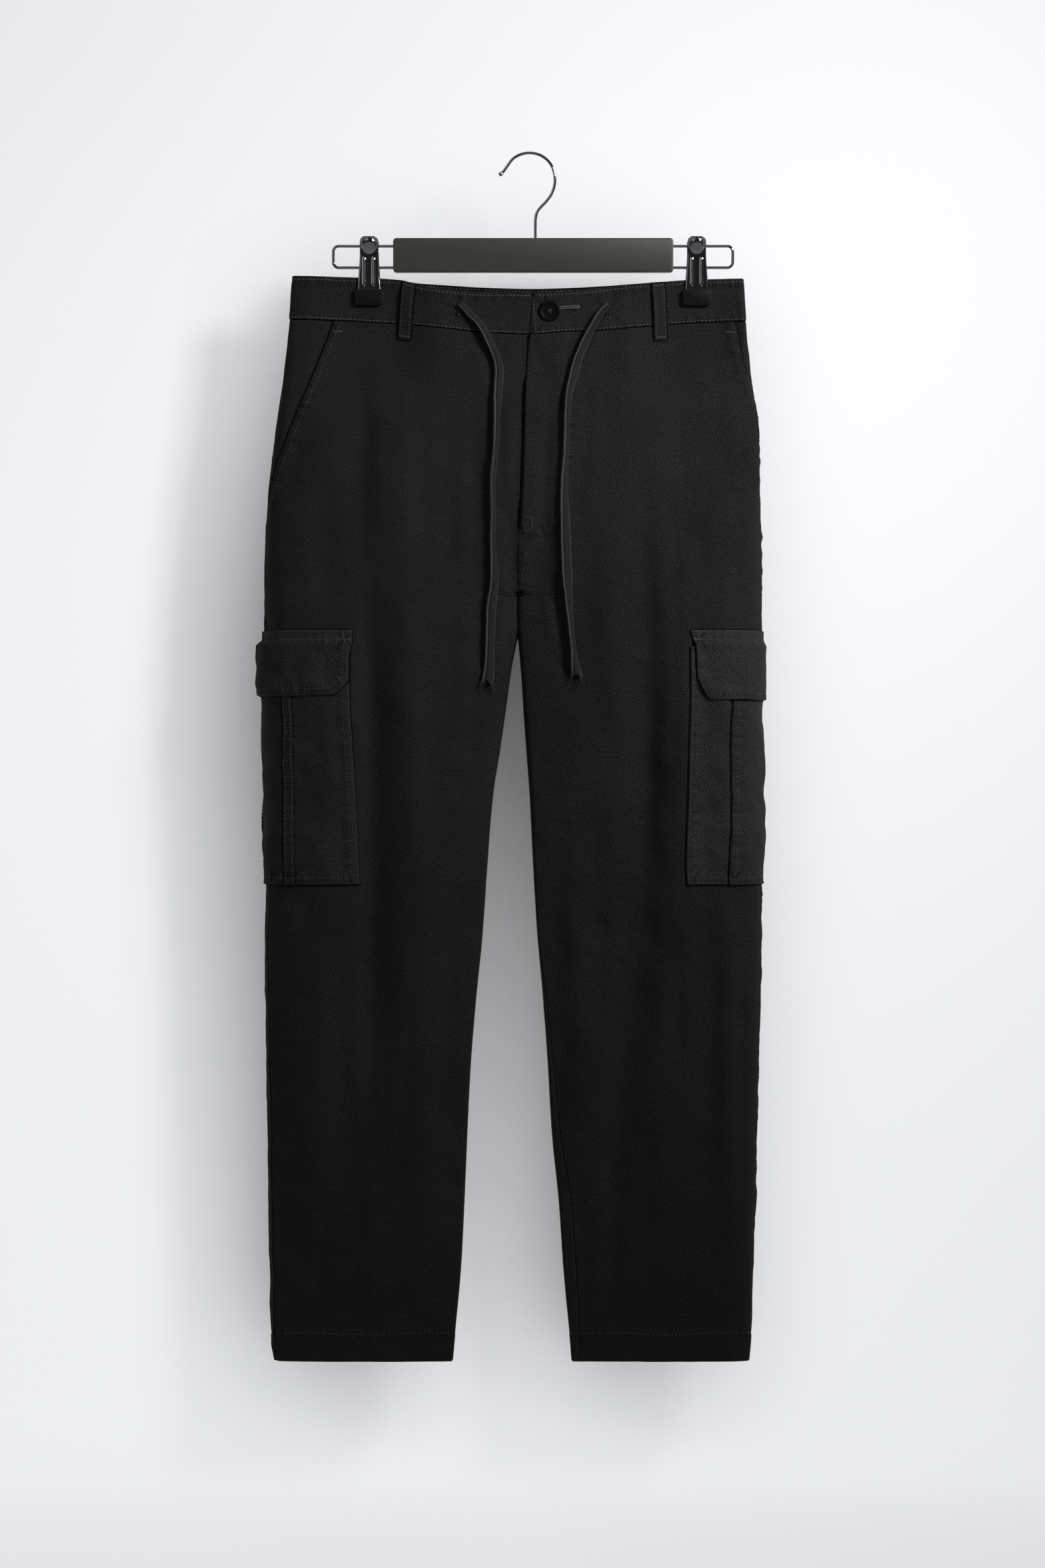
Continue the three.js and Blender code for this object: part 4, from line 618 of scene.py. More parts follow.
class Leg:
    """The cloth of one leg and its half of the hips, as points by height and arc length."""

    def __init__(self, name, turn, sections, seed):
        self.name, self.turn, self.sections = name, turn, sections
        steps = round((WAIST_TOP - HEM_BOTTOM) / HEIGHT_STEP)
        self.heights = np.linspace(WAIST_TOP, HEM_BOTTOM, steps + 1)
        self.arcs = np.arange(-ARC_REACH, ARC_REACH + ARC_STEP, ARC_STEP)
        faces = {face: self.half_section(face) for face in ("front", "back")}
        self.front_end, self.back_end = faces["front"][3], faces["back"][3]
        x, y = (np.empty((len(self.heights), len(self.arcs))) for _ in range(2))
        for row, _ in enumerate(self.heights):
            (fx, fy, fa), (bx, by, ba) = ([part[row] for part in faces[f][:3]] for f in ("front", "back"))
            arc = np.concatenate([-ba[::-1], fa[1:]])
            ring = (self.arcs + ba[-1]) % (fa[-1] + ba[-1]) - ba[-1]
            x[row] = np.interp(ring, arc, np.concatenate([bx[::-1], fx[1:]]))
            y[row] = np.interp(ring, arc, np.concatenate([by[::-1], -fy[1:]]))
        nominal = np.broadcast_to(self.heights[:, None], x.shape)
        touching = ease((LEGS_PART + 52 - nominal) / 20) * ease((nominal - LEGS_PART + 16) / 14)
        near = ease(1 - np.abs(x - read(CENTRE_LINE, "z", "x", nominal)) / 14)
        x = x + self.turn * TOUCH * touching * near
        z = sagged(x, nominal, np.clip(0.5 + y / (2 * SAG_DEPTH), 0, 1))
        points = np.stack([x, y, z], -1)
        ahead = ease(0.5 - y / 12)
        moved = ahead * (folded(FRONT_CREASES, x, nominal) + crossed(FRONT_CROSSINGS, x, nominal))
        moved += (1 - ahead) * (folded(BACK_CREASES, x, nominal) + crossed(BACK_CROSSINGS, x, nominal))
        moved += rippled(x + 400 * ahead, nominal, seed) + rumpled(x + 400 * ahead, nominal, 5 + self.turn)
        from_fold = np.abs(x - read(sections, "z", "inner", nominal))
        moved *= 1 - 0.8 * (1 - ease(from_fold / 14)) * ease((CROTCH - nominal) / 30)
        firm = pinch(x, nominal)
        moved *= ease((BAND_SEAM + 4 - nominal) / 30) * (1 - firm) + 0.12 * firm
        self.grid = points + self.normals(points) * moved[..., None]
        self.out = self.normals(self.grid)

    def half_section(self, face):
        """Cross-sections of the front or the back, from the outer fold to the inner one."""
        z = self.heights[:, None]
        value = {key: read(self.sections, "z", key, z) for key in SECTION.split()}
        apart = np.where(z >= LEGS_PART, HALF_GAP, 0)
        centre = read(CENTRE_LINE, "z", "x", z)
        inner = np.where(z >= LEGS_PART, centre, value["inner"]) - self.turn * apart
        outer, edge, depth, join = value["outer"], value["edge"], value[face], joined(z)
        width = np.abs(inner - outer)
        share = (1 + join) / 2 * (1 - np.cos(np.pi * np.arange(RING_STEPS + 1) / RING_STEPS))
        x = outer + self.turn * share * width
        to_outer, to_inner = share * width, (1 + join - share) * width
        reaches = ((to_outer, edge), (to_inner, INNER_FOLD * edge))
        roundness = [np.sqrt(1 - (1 - np.clip(d / r, 0, 1)) ** 2) for d, r in reaches]
        belly = 1 - np.abs(1 - 2 * share / (1 + join)) ** BELLY_POWER
        level = INNER_LEVEL * roundness[1] * ease(2 * share / (1 + join) - 1)
        belly = level + (1 - level) * belly
        y = edge * roundness[0] * roundness[1] + (depth - edge) * belly
        folds = FRONT_FOLDS if face == "front" else BACK_FOLDS
        y += folded(folds, x, z) * ease(np.minimum(to_outer, to_inner) / CREASE_EDGE)
        press = pinch(x, z) * ease(to_outer / PINCH_EDGE)
        y += (PINCH_HALF_DEPTH - y) * press
        run = np.hypot(np.diff(x, axis=1), np.diff(y, axis=1))
        arc = np.concatenate([np.zeros((len(x), 1)), np.cumsum(run, axis=1)], axis=1)
        end = np.array([np.interp(self.turn * i, self.turn * xs, a) for i, xs, a in zip(inner[:, 0], x, arc)])
        return x, y, arc, end

    def normals(self, points):
        """Outward directions over a grid of points."""
        across, down = np.gradient(points, axis=1), np.gradient(points, axis=0)
        return unit(np.cross(across, down) * -self.turn)

    def look_up(self, grid, z, arc):
        """A grid's value at heights and arc lengths between its points."""
        z, arc = np.broadcast_arrays(z, arc)
        row = np.clip((self.heights[0] - z) / (self.heights[0] - self.heights[1]), 0, len(grid) - 1.001)
        column = np.clip((arc - self.arcs[0]) / ARC_STEP, 0, len(self.arcs) - 1.001)
        i, j = row.astype(int), column.astype(int)
        u, v = (row - i)[..., None], (column - j)[..., None]
        upper = grid[i, j] * (1 - v) + grid[i, j + 1] * v
        lower = grid[i + 1, j] * (1 - v) + grid[i + 1, j + 1] * v
        return upper * (1 - u) + lower * u

    def place(self, z, arc, lift=0.0):
        """Points of the cloth, moved out by a distance."""
        out = unit(self.look_up(self.out, z, arc))
        return self.look_up(self.grid, z, arc) + out * np.asarray(lift)[..., None]

    def outward(self, z, arc):
        """Outward directions of the cloth at places on it."""
        return unit(self.look_up(self.out, z, arc))

    def seam(self, z):
        """Arc length of the side seam at a height."""
        return read(self.sections, "z", "seam", z)

    def inner_edge(self, z, face):
        """Arc length of the centre line or of the inseam, in front or behind."""
        inseam = np.where(z > CROTCH, 0, read(self.sections, "z", "inseam", z))
        end = self.front_end if face == "front" else self.back_end
        reach = np.interp(-np.asarray(z), -self.heights, end)
        return reach - inseam if face == "front" else -reach - inseam

    def arc_at(self, z, x, face):
        """Arc length at which the front or the back reaches an x."""
        side = 1 if face == "front" else -1
        arcs = side * np.arange(16.0, 250.0)
        found = self.look_up(self.grid, z, arcs)[:, 0]
        return float(np.interp(self.turn * x, self.turn * found, arcs))


right_leg = Leg("right", 1, RIGHT_SECTIONS, 0.0)
left_leg = Leg("left", -1, LEFT_SECTIONS, 2.6)
legs = (right_leg, left_leg)

# The twill of the trousers: yarn-dyed black, brushed, so that it is matt with a faint nap. The real
# ribs are 0.6 mm apart and are drawn at 1.7 mm so that they show
TWILL_PITCH = 1.7
TWILL_RIB = 0.7
TWILL_NAP = 0.02
black_twill = woven_cotton(
    "black cotton twill", "#070707", "#2e2e2f", "#3e3e40", TWILL_PITCH, TWILL_RIB, TWILL_NAP)
# The patches were cut from a paler roll; the left ones are paler still, as painted light from the key lamp on
# that side
patch_twill = {
    "right": woven_cotton(
        "black cotton twill, patch", "#0a0a0a", "#333334", "#48484a", TWILL_PITCH, TWILL_RIB, TWILL_NAP),
    "left": woven_cotton(
        "black cotton twill, worn patch", "#0d0d0d", "#3d3d3e", "#505052", TWILL_PITCH, TWILL_RIB, TWILL_NAP),
}


def spaced(first, last, near, far):
    """Places between two edges, close together at both and wider between them."""
    edge = np.array(EDGE_PLACES)
    middle = np.linspace(0, 1, max(2, int((last - first - 2 * edge[-1]) / far) + 1))[1:-1]
    inner = first + edge[-1] + middle * (last - first - 2 * edge[-1])
    return np.concatenate([first + edge[edge >= near], inner, (last - edge[edge >= near])[::-1]])


EDGE_PLACES = (0, 0.5, 0.9, 1.15, 1.4, 1.8, 2.6, 3.8, 5.0, 6.0, 7.0, 8.4, 10.4, 13)
SKIRT = 1.0
SEAM_SKIRT = 0.5


def shell(outer, inner):
    """Points and faces of the closed sheet between two grids."""
    rows, columns = outer.shape[:2]
    top = np.arange(rows * columns).reshape(rows, columns)
    under = top + rows * columns
    rim = np.concatenate([top[0, :-1], top[:-1, -1], top[-1, :0:-1], top[:0:-1, 0]])
    after = np.roll(rim, -1)
    faces = [
        np.stack([top[:-1, :-1], top[:-1, 1:], top[1:, 1:], top[1:, :-1]], -1).reshape(-1, 4),
        np.stack([under[:-1, :-1], under[1:, :-1], under[1:, 1:], under[:-1, 1:]], -1).reshape(-1, 4),
        np.stack([after, rim, rim + rows * columns, after + rows * columns], -1),
    ]
    return np.vstack([outer.reshape(-1, 3), inner.reshape(-1, 3)]), np.vstack(faces)


def line_distance(line, arc, z):
    """Distance of places on the cloth from a line sewn on it, and how far along it they lie."""
    line = np.asarray(line, float)
    nearest, along = np.full(arc.shape, 1e9), np.zeros(arc.shape)
    reach = 0.0
    for (a0, z0), (a1, z1) in zip(line, line[1:]):
        run = math.hypot(a1 - a0, z1 - z0)
        share = np.clip(((arc - a0) * (a1 - a0) + (z - z0) * (z1 - z0)) / run ** 2, 0, 1)
        off = np.hypot(arc - a0 - share * (a1 - a0), z - z0 - share * (z1 - z0))
        closer = off < nearest
        nearest, along = np.where(closer, off, nearest), np.where(closer, reach + share * run, along)
        reach += run
    return nearest, along


def puckered(lines, arc, z, seed=0.0):
    """The groove that sewn lines pull into the cloth and the uneven puckers beside them."""
    depth = np.zeros(arc.shape)
    for number, line in enumerate(lines):
        off, along = line_distance(line, arc, z)
        phase = seed + 1.7 * number
        wave = np.sin(along / 2.1 + 1.3 * np.sin(along / 13 + phase) + phase)
        wave = wave + 0.8 * np.sin(along / 4.3 + 2 * np.sin(along / 29 + phase))
        strength = 0.2 + 0.1 * np.sin(along / 37 + phase)
        depth += wave * strength * np.exp(-(off / 5.0) ** 2) - 0.35 * np.exp(-(off / 1.0) ** 2)
    return depth


def rolled(distance, radius, drop):
    """How far cloth drops where it rolls in towards an edge."""
    return -drop * (1 - np.sqrt(np.clip(1 - (1 - np.clip(distance / radius, 0, 1)) ** 2, 0, 1)))


EDGE_WEAR = 0.12
INSIDE_SHADE = -0.55


def turned_edge(distance, drop, skirt=SKIRT):
    """How far a turned-in edge drops: steeply, and then flat along a narrow skirt in its shade."""
    rise = np.clip((distance - skirt) / 0.9, 0, 1)
    return -drop * (1 - np.sqrt(np.clip(1 - (1 - rise) ** 2, 0, 1)))


def edge_shade(distance, skirt=SKIRT):
    """Painted shade in the crease beside an edge, and wear that rubs the ridge beside it pale."""
    pale = EDGE_WEAR * np.exp(-((distance - skirt - 1.1) / 0.9) ** 2)
    return np.where(distance < skirt + 0.1, -1.0, pale)


def beside(lines, arc, z):
    """How near places lie to the nearest sewn line, from 1 on it to 0, and how far along it."""
    nearest, along = np.full(arc.shape, 1e9), np.zeros(arc.shape)
    for line in lines:
        off, reach = line_distance(line, arc, z)
        nearest, along = np.where(off < nearest, off, nearest), np.where(off < nearest, reach, along)
    return np.exp(-(nearest / PUCKER_REACH) ** 2), along


PUCKER_REACH = 4.6


def cloth_piece(name, leg, arcs, heights, lift, thick, shade, lines, nodes, material):
    """One sewn piece: a grid of arcs and heights on a leg, its outer face's lift, its thickness."""
    outer = leg.place(heights, arcs, lift)
    inner = outer - leg.outward(heights, arcs) * np.asarray(thick)[..., None]
    points, faces = shell(outer, inner)
    uv = np.stack([arcs, heights], -1).reshape(-1, 2)
    # The outer face takes the given wear and painted shade; the inner face is darkened all over with painted
    # shade
    wear_and_shade = np.concatenate([np.broadcast_to(shade, arcs.shape).ravel(), np.full(arcs.size, INSIDE_SHADE)])
    sewn, along = (np.tile(part.ravel(), 2) for part in beside(lines, arcs, heights))
    layers = {"wear_and_shade": wear_and_shade, "sewn": sewn, "along": along}
    made = piece(name, points, faces, material, np.vstack([uv, uv]), layers)
    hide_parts(*nodes)


# Topstitching: black core-spun polyester thread, a little paler and glossier than the cloth. Each
# stitch is a short spindle that dips into the cloth at both ends
STITCH_PITCH = 3.5
STITCH_LENGTH = 2.2
THREAD_RADIUS = 0.3


def sewing_thread(name, dark, light):
    """Spun polyester thread, whose colour varies from stitch to stitch."""
    material, output = new_material(name)
    coordinates = node(material, "TexCoord", {})
    tone = node(material, "TexNoise", {
        "Vector": coordinates.outputs["Object"], "Scale": 420.0, "Detail": 2.0})
    colour = node(material, "Mix", {
        "Factor": tone.outputs["Fac"], "A": linear(dark), "B": linear(light)}, data_type="RGBA")
    shader = node(material, "BsdfPrincipled", {
        "Base Color": colour.outputs["Result"], "Roughness": 0.55, "IOR": 1.5,
        "Specular IOR Level": 0.2})
    material.node_tree.links.new(shader.outputs[0], output.inputs["Surface"])
    return material


thread_polyester = sewing_thread("black core-spun polyester thread", "#202021", "#5a5a5c")
band_thread = sewing_thread("dark grey core-spun polyester thread", "#2e2e30", "#7e7e82")


def stitches(starts, ends, out, radius=THREAD_RADIUS):
    """Points and faces of one spindle for each stitch."""
    way = unit(ends - starts)
    side = unit(np.cross(way, out))
    rings = []
    for share, wide, rise in ((0, 0.35, -0.25), (0.25, 1, 0.55), (0.75, 1, 0.55), (1, 0.35, -0.25)):
        centre = starts + (ends - starts) * share + out * radius * rise
        for turn in (45, 135, 225, 315):
            swing = math.radians(turn)
            rings.append(centre + (side * math.cos(swing) + out * math.sin(swing)) * radius * wide)
    points = np.stack(rings, 1).reshape(-1, 3)
    one = ring_faces(4, 4) + [[3, 2, 1, 0], [12, 13, 14, 15]]
    faces = (np.array(one)[None] + (np.arange(len(starts)) * 16)[:, None, None]).reshape(-1, 4)
    return points, faces


def sewn_line(leg, line, lift, pitch=STITCH_PITCH, length=STITCH_LENGTH):
    """Starts, ends and outward directions of the stitches along a line on a leg."""
    line = np.asarray(line, float)
    reach = np.concatenate([[0], np.cumsum(np.hypot(*np.diff(line, axis=0).T))])
    at = np.arange(0.6, reach[-1] - length, pitch)
    found = []
    for share in (at, at + length):
        arc, z = (np.interp(share, reach, line[:, k]) for k in (0, 1))
        height = lift(arc, z) if callable(lift) else np.full(arc.shape, lift)
        found.append((leg.place(z, arc, height + 0.1), leg.outward(z, arc)))
    return found[0][0], found[1][0], unit(found[0][1] + found[1][1])


def topstitching(name, runs, thread=thread_polyester):
    """All the stitches of one piece as a mesh, from runs of starts, ends and directions."""
    starts, ends, out = (np.vstack(part) for part in zip(*runs))
    points, faces = stitches(starts, ends, out)
    piece(name, points, faces, thread)


def bartack(leg, start, end, lift, width=2.2, count=14):
    """A short bar of tight zigzag stitches between two places on a leg."""
    share = np.linspace(0, 1, count + 1)
    arc, z = (start[k] + (end[k] - start[k]) * share for k in (0, 1))
    run = math.hypot(end[0] - start[0], end[1] - start[1])
    swing = np.where(np.arange(count + 1) % 2, 0.5, -0.5) * width
    arc, z = arc - swing * (end[1] - start[1]) / run, z + swing * (end[0] - start[0]) / run
    height = lift(arc, z) if callable(lift) else np.full(arc.shape, lift)
    points, out = leg.place(z, arc, height + 0.25), leg.outward(z, arc)
    return points[:-1], points[1:], unit(out[:-1] + out[1:])


# Fronts
# One panel of twill for each leg, from the band to the hem. The slant pocket's mouth cuts its upper
# outer corner, with a turned and topstitched edge; the left one carries the fly, three layers thick,
# with its curved row of stitches; the hem is turned up 26 mm and stitched once.
CLOTH = 1.2
HEM_CLOTH = 2.4
SLANT_WIDTH = 42.0
SLANT_POWER = 0.9
SLANT_STITCH = 6.5
FLY_PROUD = 1.7
FLY_WIDTH = 30.0
FLY_END = -356.0
FLY_LAP = 2.2
FELL_LAP = 1.2
ROW_STEP = 2.6
COLUMN_STEP = 3.4
RISE_STITCH_X = [(-3.2, -375), (-6, -388), (-6.4, -398), (-7.4, -410)]
FLY_STITCH_X = [(39, -172), (39, -253), (35, -301), (26, -346), (19, -354), (8, -356.5), (-8, -354.4)]


def slant_width(z):
    """How far ahead of the side seam the pocket's mouth reaches at a height."""
    return SLANT_WIDTH * np.clip((z - SLANT_END) / (BAND_SEAM - SLANT_END), 0, 1) ** SLANT_POWER


def wall_at(z):
    """Thickness of a panel: the hem has two layers more."""
    return np.where(z <= HEM_SEAM, HEM_CLOTH, CLOTH)


def lap_at(leg, z):
    """How far a front's inner edge laps past the centre: the left one covers the right along the fly."""
    if leg is right_leg:
        return LAP
    return LAP + FLY_LAP * ease((z - FLY_END + 20) / 24) + FELL_LAP * ease((z - CROTCH - 2) / 6)


def panel_grid(start, end, top, bottom):
    """Arcs and heights of a panel between two edges that are given for each height."""
    heights = spaced(-top, -bottom, 0.25, ROW_STEP)
    heights = -np.concatenate([[-top], heights, [-bottom]])
    shares = spaced(0.0, 210.0, 0.0, COLUMN_STEP) / 210.0
    first, last = start(heights)[:, None], end(heights)[:, None]
    return first + (last - first) * shares, np.broadcast_to(heights[:, None], (len(heights), len(shares)))


def front_lines(leg):
    """The sewn lines of a front: along the pocket's mouth and at the hem."""
    z = np.linspace(BAND_SEAM - 1, SLANT_END + 4, 30)
    slant = np.stack([leg.seam(z) + slant_width(z) + SLANT_STITCH, z], 1)
    hem_start, hem_end = leg.seam(HEM_SEAM) + 1.5, leg.inner_edge(HEM_SEAM, "front") - 1.5
    across = np.linspace(0, 1, 24)
    hem = np.stack([hem_start + (hem_end - hem_start) * across, HEM_SEAM + 0.8 * np.sin(across * 9)], 1)
    lines = [slant, hem]
    if leg is left_leg:
        lines += [[(leg.arc_at(z, x, "front"), z) for x, z in line] for line in (FLY_STITCH_X, RISE_STITCH_X)]
    return lines


for leg in legs:
    front_sewn = front_lines(leg)
    arcs, heights = panel_grid(
        lambda z: leg.seam(z) + slant_width(z) - LAP * (slant_width(z) <= 0),
        lambda z: leg.inner_edge(z, "front") + lap_at(leg, z), BAND_SEAM + LAP, HEM_BOTTOM)

    def front_lift(arc, z, leg=leg, lines=front_sewn):
        """How far a front's outer face stands off the plain form of the leg."""
        from_slant = arc - leg.seam(z) - slant_width(z)
        from_inner = leg.inner_edge(z, "front") - arc
        on_slant = np.clip(slant_width(z) / 4, 0, 1)
        lift = 0.5 * on_slant * ease((9 - from_slant) / 4) + turned_edge(from_slant, 0.9, SEAM_SKIRT)
        to_edge = from_inner + lap_at(leg, z)
        lift = lift + turned_edge(to_edge, 1.0, SEAM_SKIRT) * np.where(z < CROTCH, 0.45, 0.9)
        lift = lift + rolled(BAND_SEAM - z, 1.4, 0.4) + rolled(z - HEM_BOTTOM, 1.6, 0.9)
        lift = lift + 0.25 * ease((HEM_SEAM - z) / 2)
        if leg is left_leg:
            lift = lift + FLY_PROUD * ease((FLY_WIDTH + 6 - from_inner) / 5) * ease((z - FLY_END) / 6)
            lift = lift + turned_edge(to_edge, 0.9 * FLY_PROUD) * ease((z - FLY_END) / 6)
        return lift + puckered(lines, arc, z, 0.8 if leg is left_leg else 0.0)

    # Painted shade: a dark crease line at the pocket's mouth, at the band seam and along the inner edge, 3 mm
    # wider along the fly
    to_slant = arcs - leg.seam(heights) - slant_width(heights)
    to_inner = arcs[:, -1:] - arcs
    shade = edge_shade(np.minimum(to_slant, BAND_SEAM + LAP + 0.6 - heights), SEAM_SKIRT)
    fly_dark = 3.0 * (heights > FLY_END) if leg is left_leg else 0.0
    shade = np.minimum(shade, edge_shade(to_inner - fly_dark, SEAM_SKIRT))
    cloth_piece(
        f"front_panel_{leg.name}", leg, arcs, heights, front_lift(arcs, heights), wall_at(heights), shade,
        front_sewn, [f"front_{leg.name}"], black_twill)
    runs = [sewn_line(leg, line, front_lift) for line in front_sewn]
    mouth = leg.seam(BAND_SEAM) + SLANT_WIDTH
    runs.append(bartack(leg, (mouth + 1, -166), (mouth + 10, -165), front_lift))
    if leg is left_leg:
        tack = [leg.arc_at(z, x, "front") for x, z in ((-5, -343), (2, -343), (2, -354), (-6, -354))]
        corners = list(zip(tack, (-343, -343, -354, -354)))
        for a, b in zip(corners, corners[1:]):
            runs.append(bartack(leg, a, b, front_lift, 1.0, 9))
    topstitching(f"front_stitching_{leg.name}", runs)

# Backs
# One plain panel of twill for each leg, from the band to the hem, with the same hem. The two meet in
# a felled centre seam that is stitched twice.
CENTRE_STITCHES = (2.0, 7.5)
for leg in legs:
    arcs, heights = panel_grid(
        lambda z: leg.inner_edge(z, "back") - LAP, lambda z: leg.seam(z) + LAP,
        BAND_SEAM + LAP, HEM_BOTTOM)
    z = np.linspace(BAND_SEAM - 1, CROTCH + 2, 30)
    back_sewn = []
    if leg is right_leg:
        back_sewn = [np.stack([leg.inner_edge(z, "back") + off, z], 1) for off in CENTRE_STITCHES]
    hem_start, hem_end = leg.inner_edge(HEM_SEAM, "back") + 1.5, leg.seam(HEM_SEAM) - 1.5
    across = np.linspace(0, 1, 24)
    back_sewn.append(np.stack([hem_start + (hem_end - hem_start) * across, np.full(24, HEM_SEAM)], 1))

    def back_lift(arc, z, leg=leg, lines=back_sewn):
        """How far a back's outer face stands off the plain form of the leg."""
        from_inner = arc - leg.inner_edge(z, "back")
        from_side = leg.seam(z) - arc
        lift = turned_edge(from_inner, 1.0, SEAM_SKIRT) * np.where(z < CROTCH, 0.45, 0.9)
        lift = lift + turned_edge(from_side, 0.9, SEAM_SKIRT)
        lift = lift + rolled(BAND_SEAM - z, 1.4, 0.4) + rolled(z - HEM_BOTTOM, 1.6, 0.9)
        lift = lift + 0.25 * ease((HEM_SEAM - z) / 2)
        if leg is right_leg:
            lift = lift + 0.5 * ease((9 - from_inner) / 2) * ease((z - CROTCH) / 10)
        return lift + puckered(lines, arc, z, 2.0)

    # Painted shade: a dark crease line along both edges and at the band seam
    to_edge = np.minimum(arcs - arcs[:, :1], arcs[:, -1:] - arcs)
    shade = edge_shade(np.minimum(to_edge, BAND_SEAM + LAP + 0.6 - heights), SEAM_SKIRT)
    cloth_piece(
        f"back_panel_{leg.name}", leg, arcs, heights, back_lift(arcs, heights), wall_at(heights), shade,
        back_sewn, [f"back_{leg.name}"], black_twill)
    topstitching(f"back_stitching_{leg.name}", [sewn_line(leg, line, back_lift) for line in back_sewn])

# Slant pocket facings
# The piece of twill that shows in the mouth of each slant pocket. It is sewn into the side seam and
# the band, and lies behind the front's edge.
FACING_INSET = 1.4
FACING_PRESSED = 1.3
FACING_LEVEL = 0.7
FACING_TAPER = 40.0
SLANT_TUCK = 5.0
for leg in legs:
    heights = np.linspace(BAND_SEAM - HALF_GAP, FACING_END, 70)[:, None]
    width = slant_width(heights) + 1 + SLANT_TUCK * np.clip((heights - FACING_END) / FACING_TAPER, 0, 1)
    ahead = HALF_GAP + (width - HALF_GAP) * np.linspace(0, 1, 26)
    arcs = leg.seam(heights) + ahead
    heights = np.broadcast_to(heights, arcs.shape)
    x = leg.place(heights, arcs)[..., 0]
    inset = FACING_INSET + (FACING_PRESSED - FACING_INSET) * pinch(x, heights)
    hidden = (inset + 0.3) * ease((ahead / slant_width(heights) - FACING_LEVEL) / (1 - FACING_LEVEL))
    lift = -hidden + rolled(ahead, 1.2, 0.4)
    # Painted shade in the creases at the seam and the band, and where the facing runs in under the front's
    # edge
    shade = edge_shade(np.minimum(ahead, BAND_SEAM + 0.6 - heights), SEAM_SKIRT)
    shade = np.minimum(shade, -0.8 * ease((ahead - slant_width(heights) + 0.5) / 0.8))
    cloth_piece(
        f"slant_pocket_facing_{leg.name}", leg, arcs, heights, lift, np.full(arcs.shape, CLOTH), shade, [],
        [f"pocket_facing_{leg.name}"], black_twill)

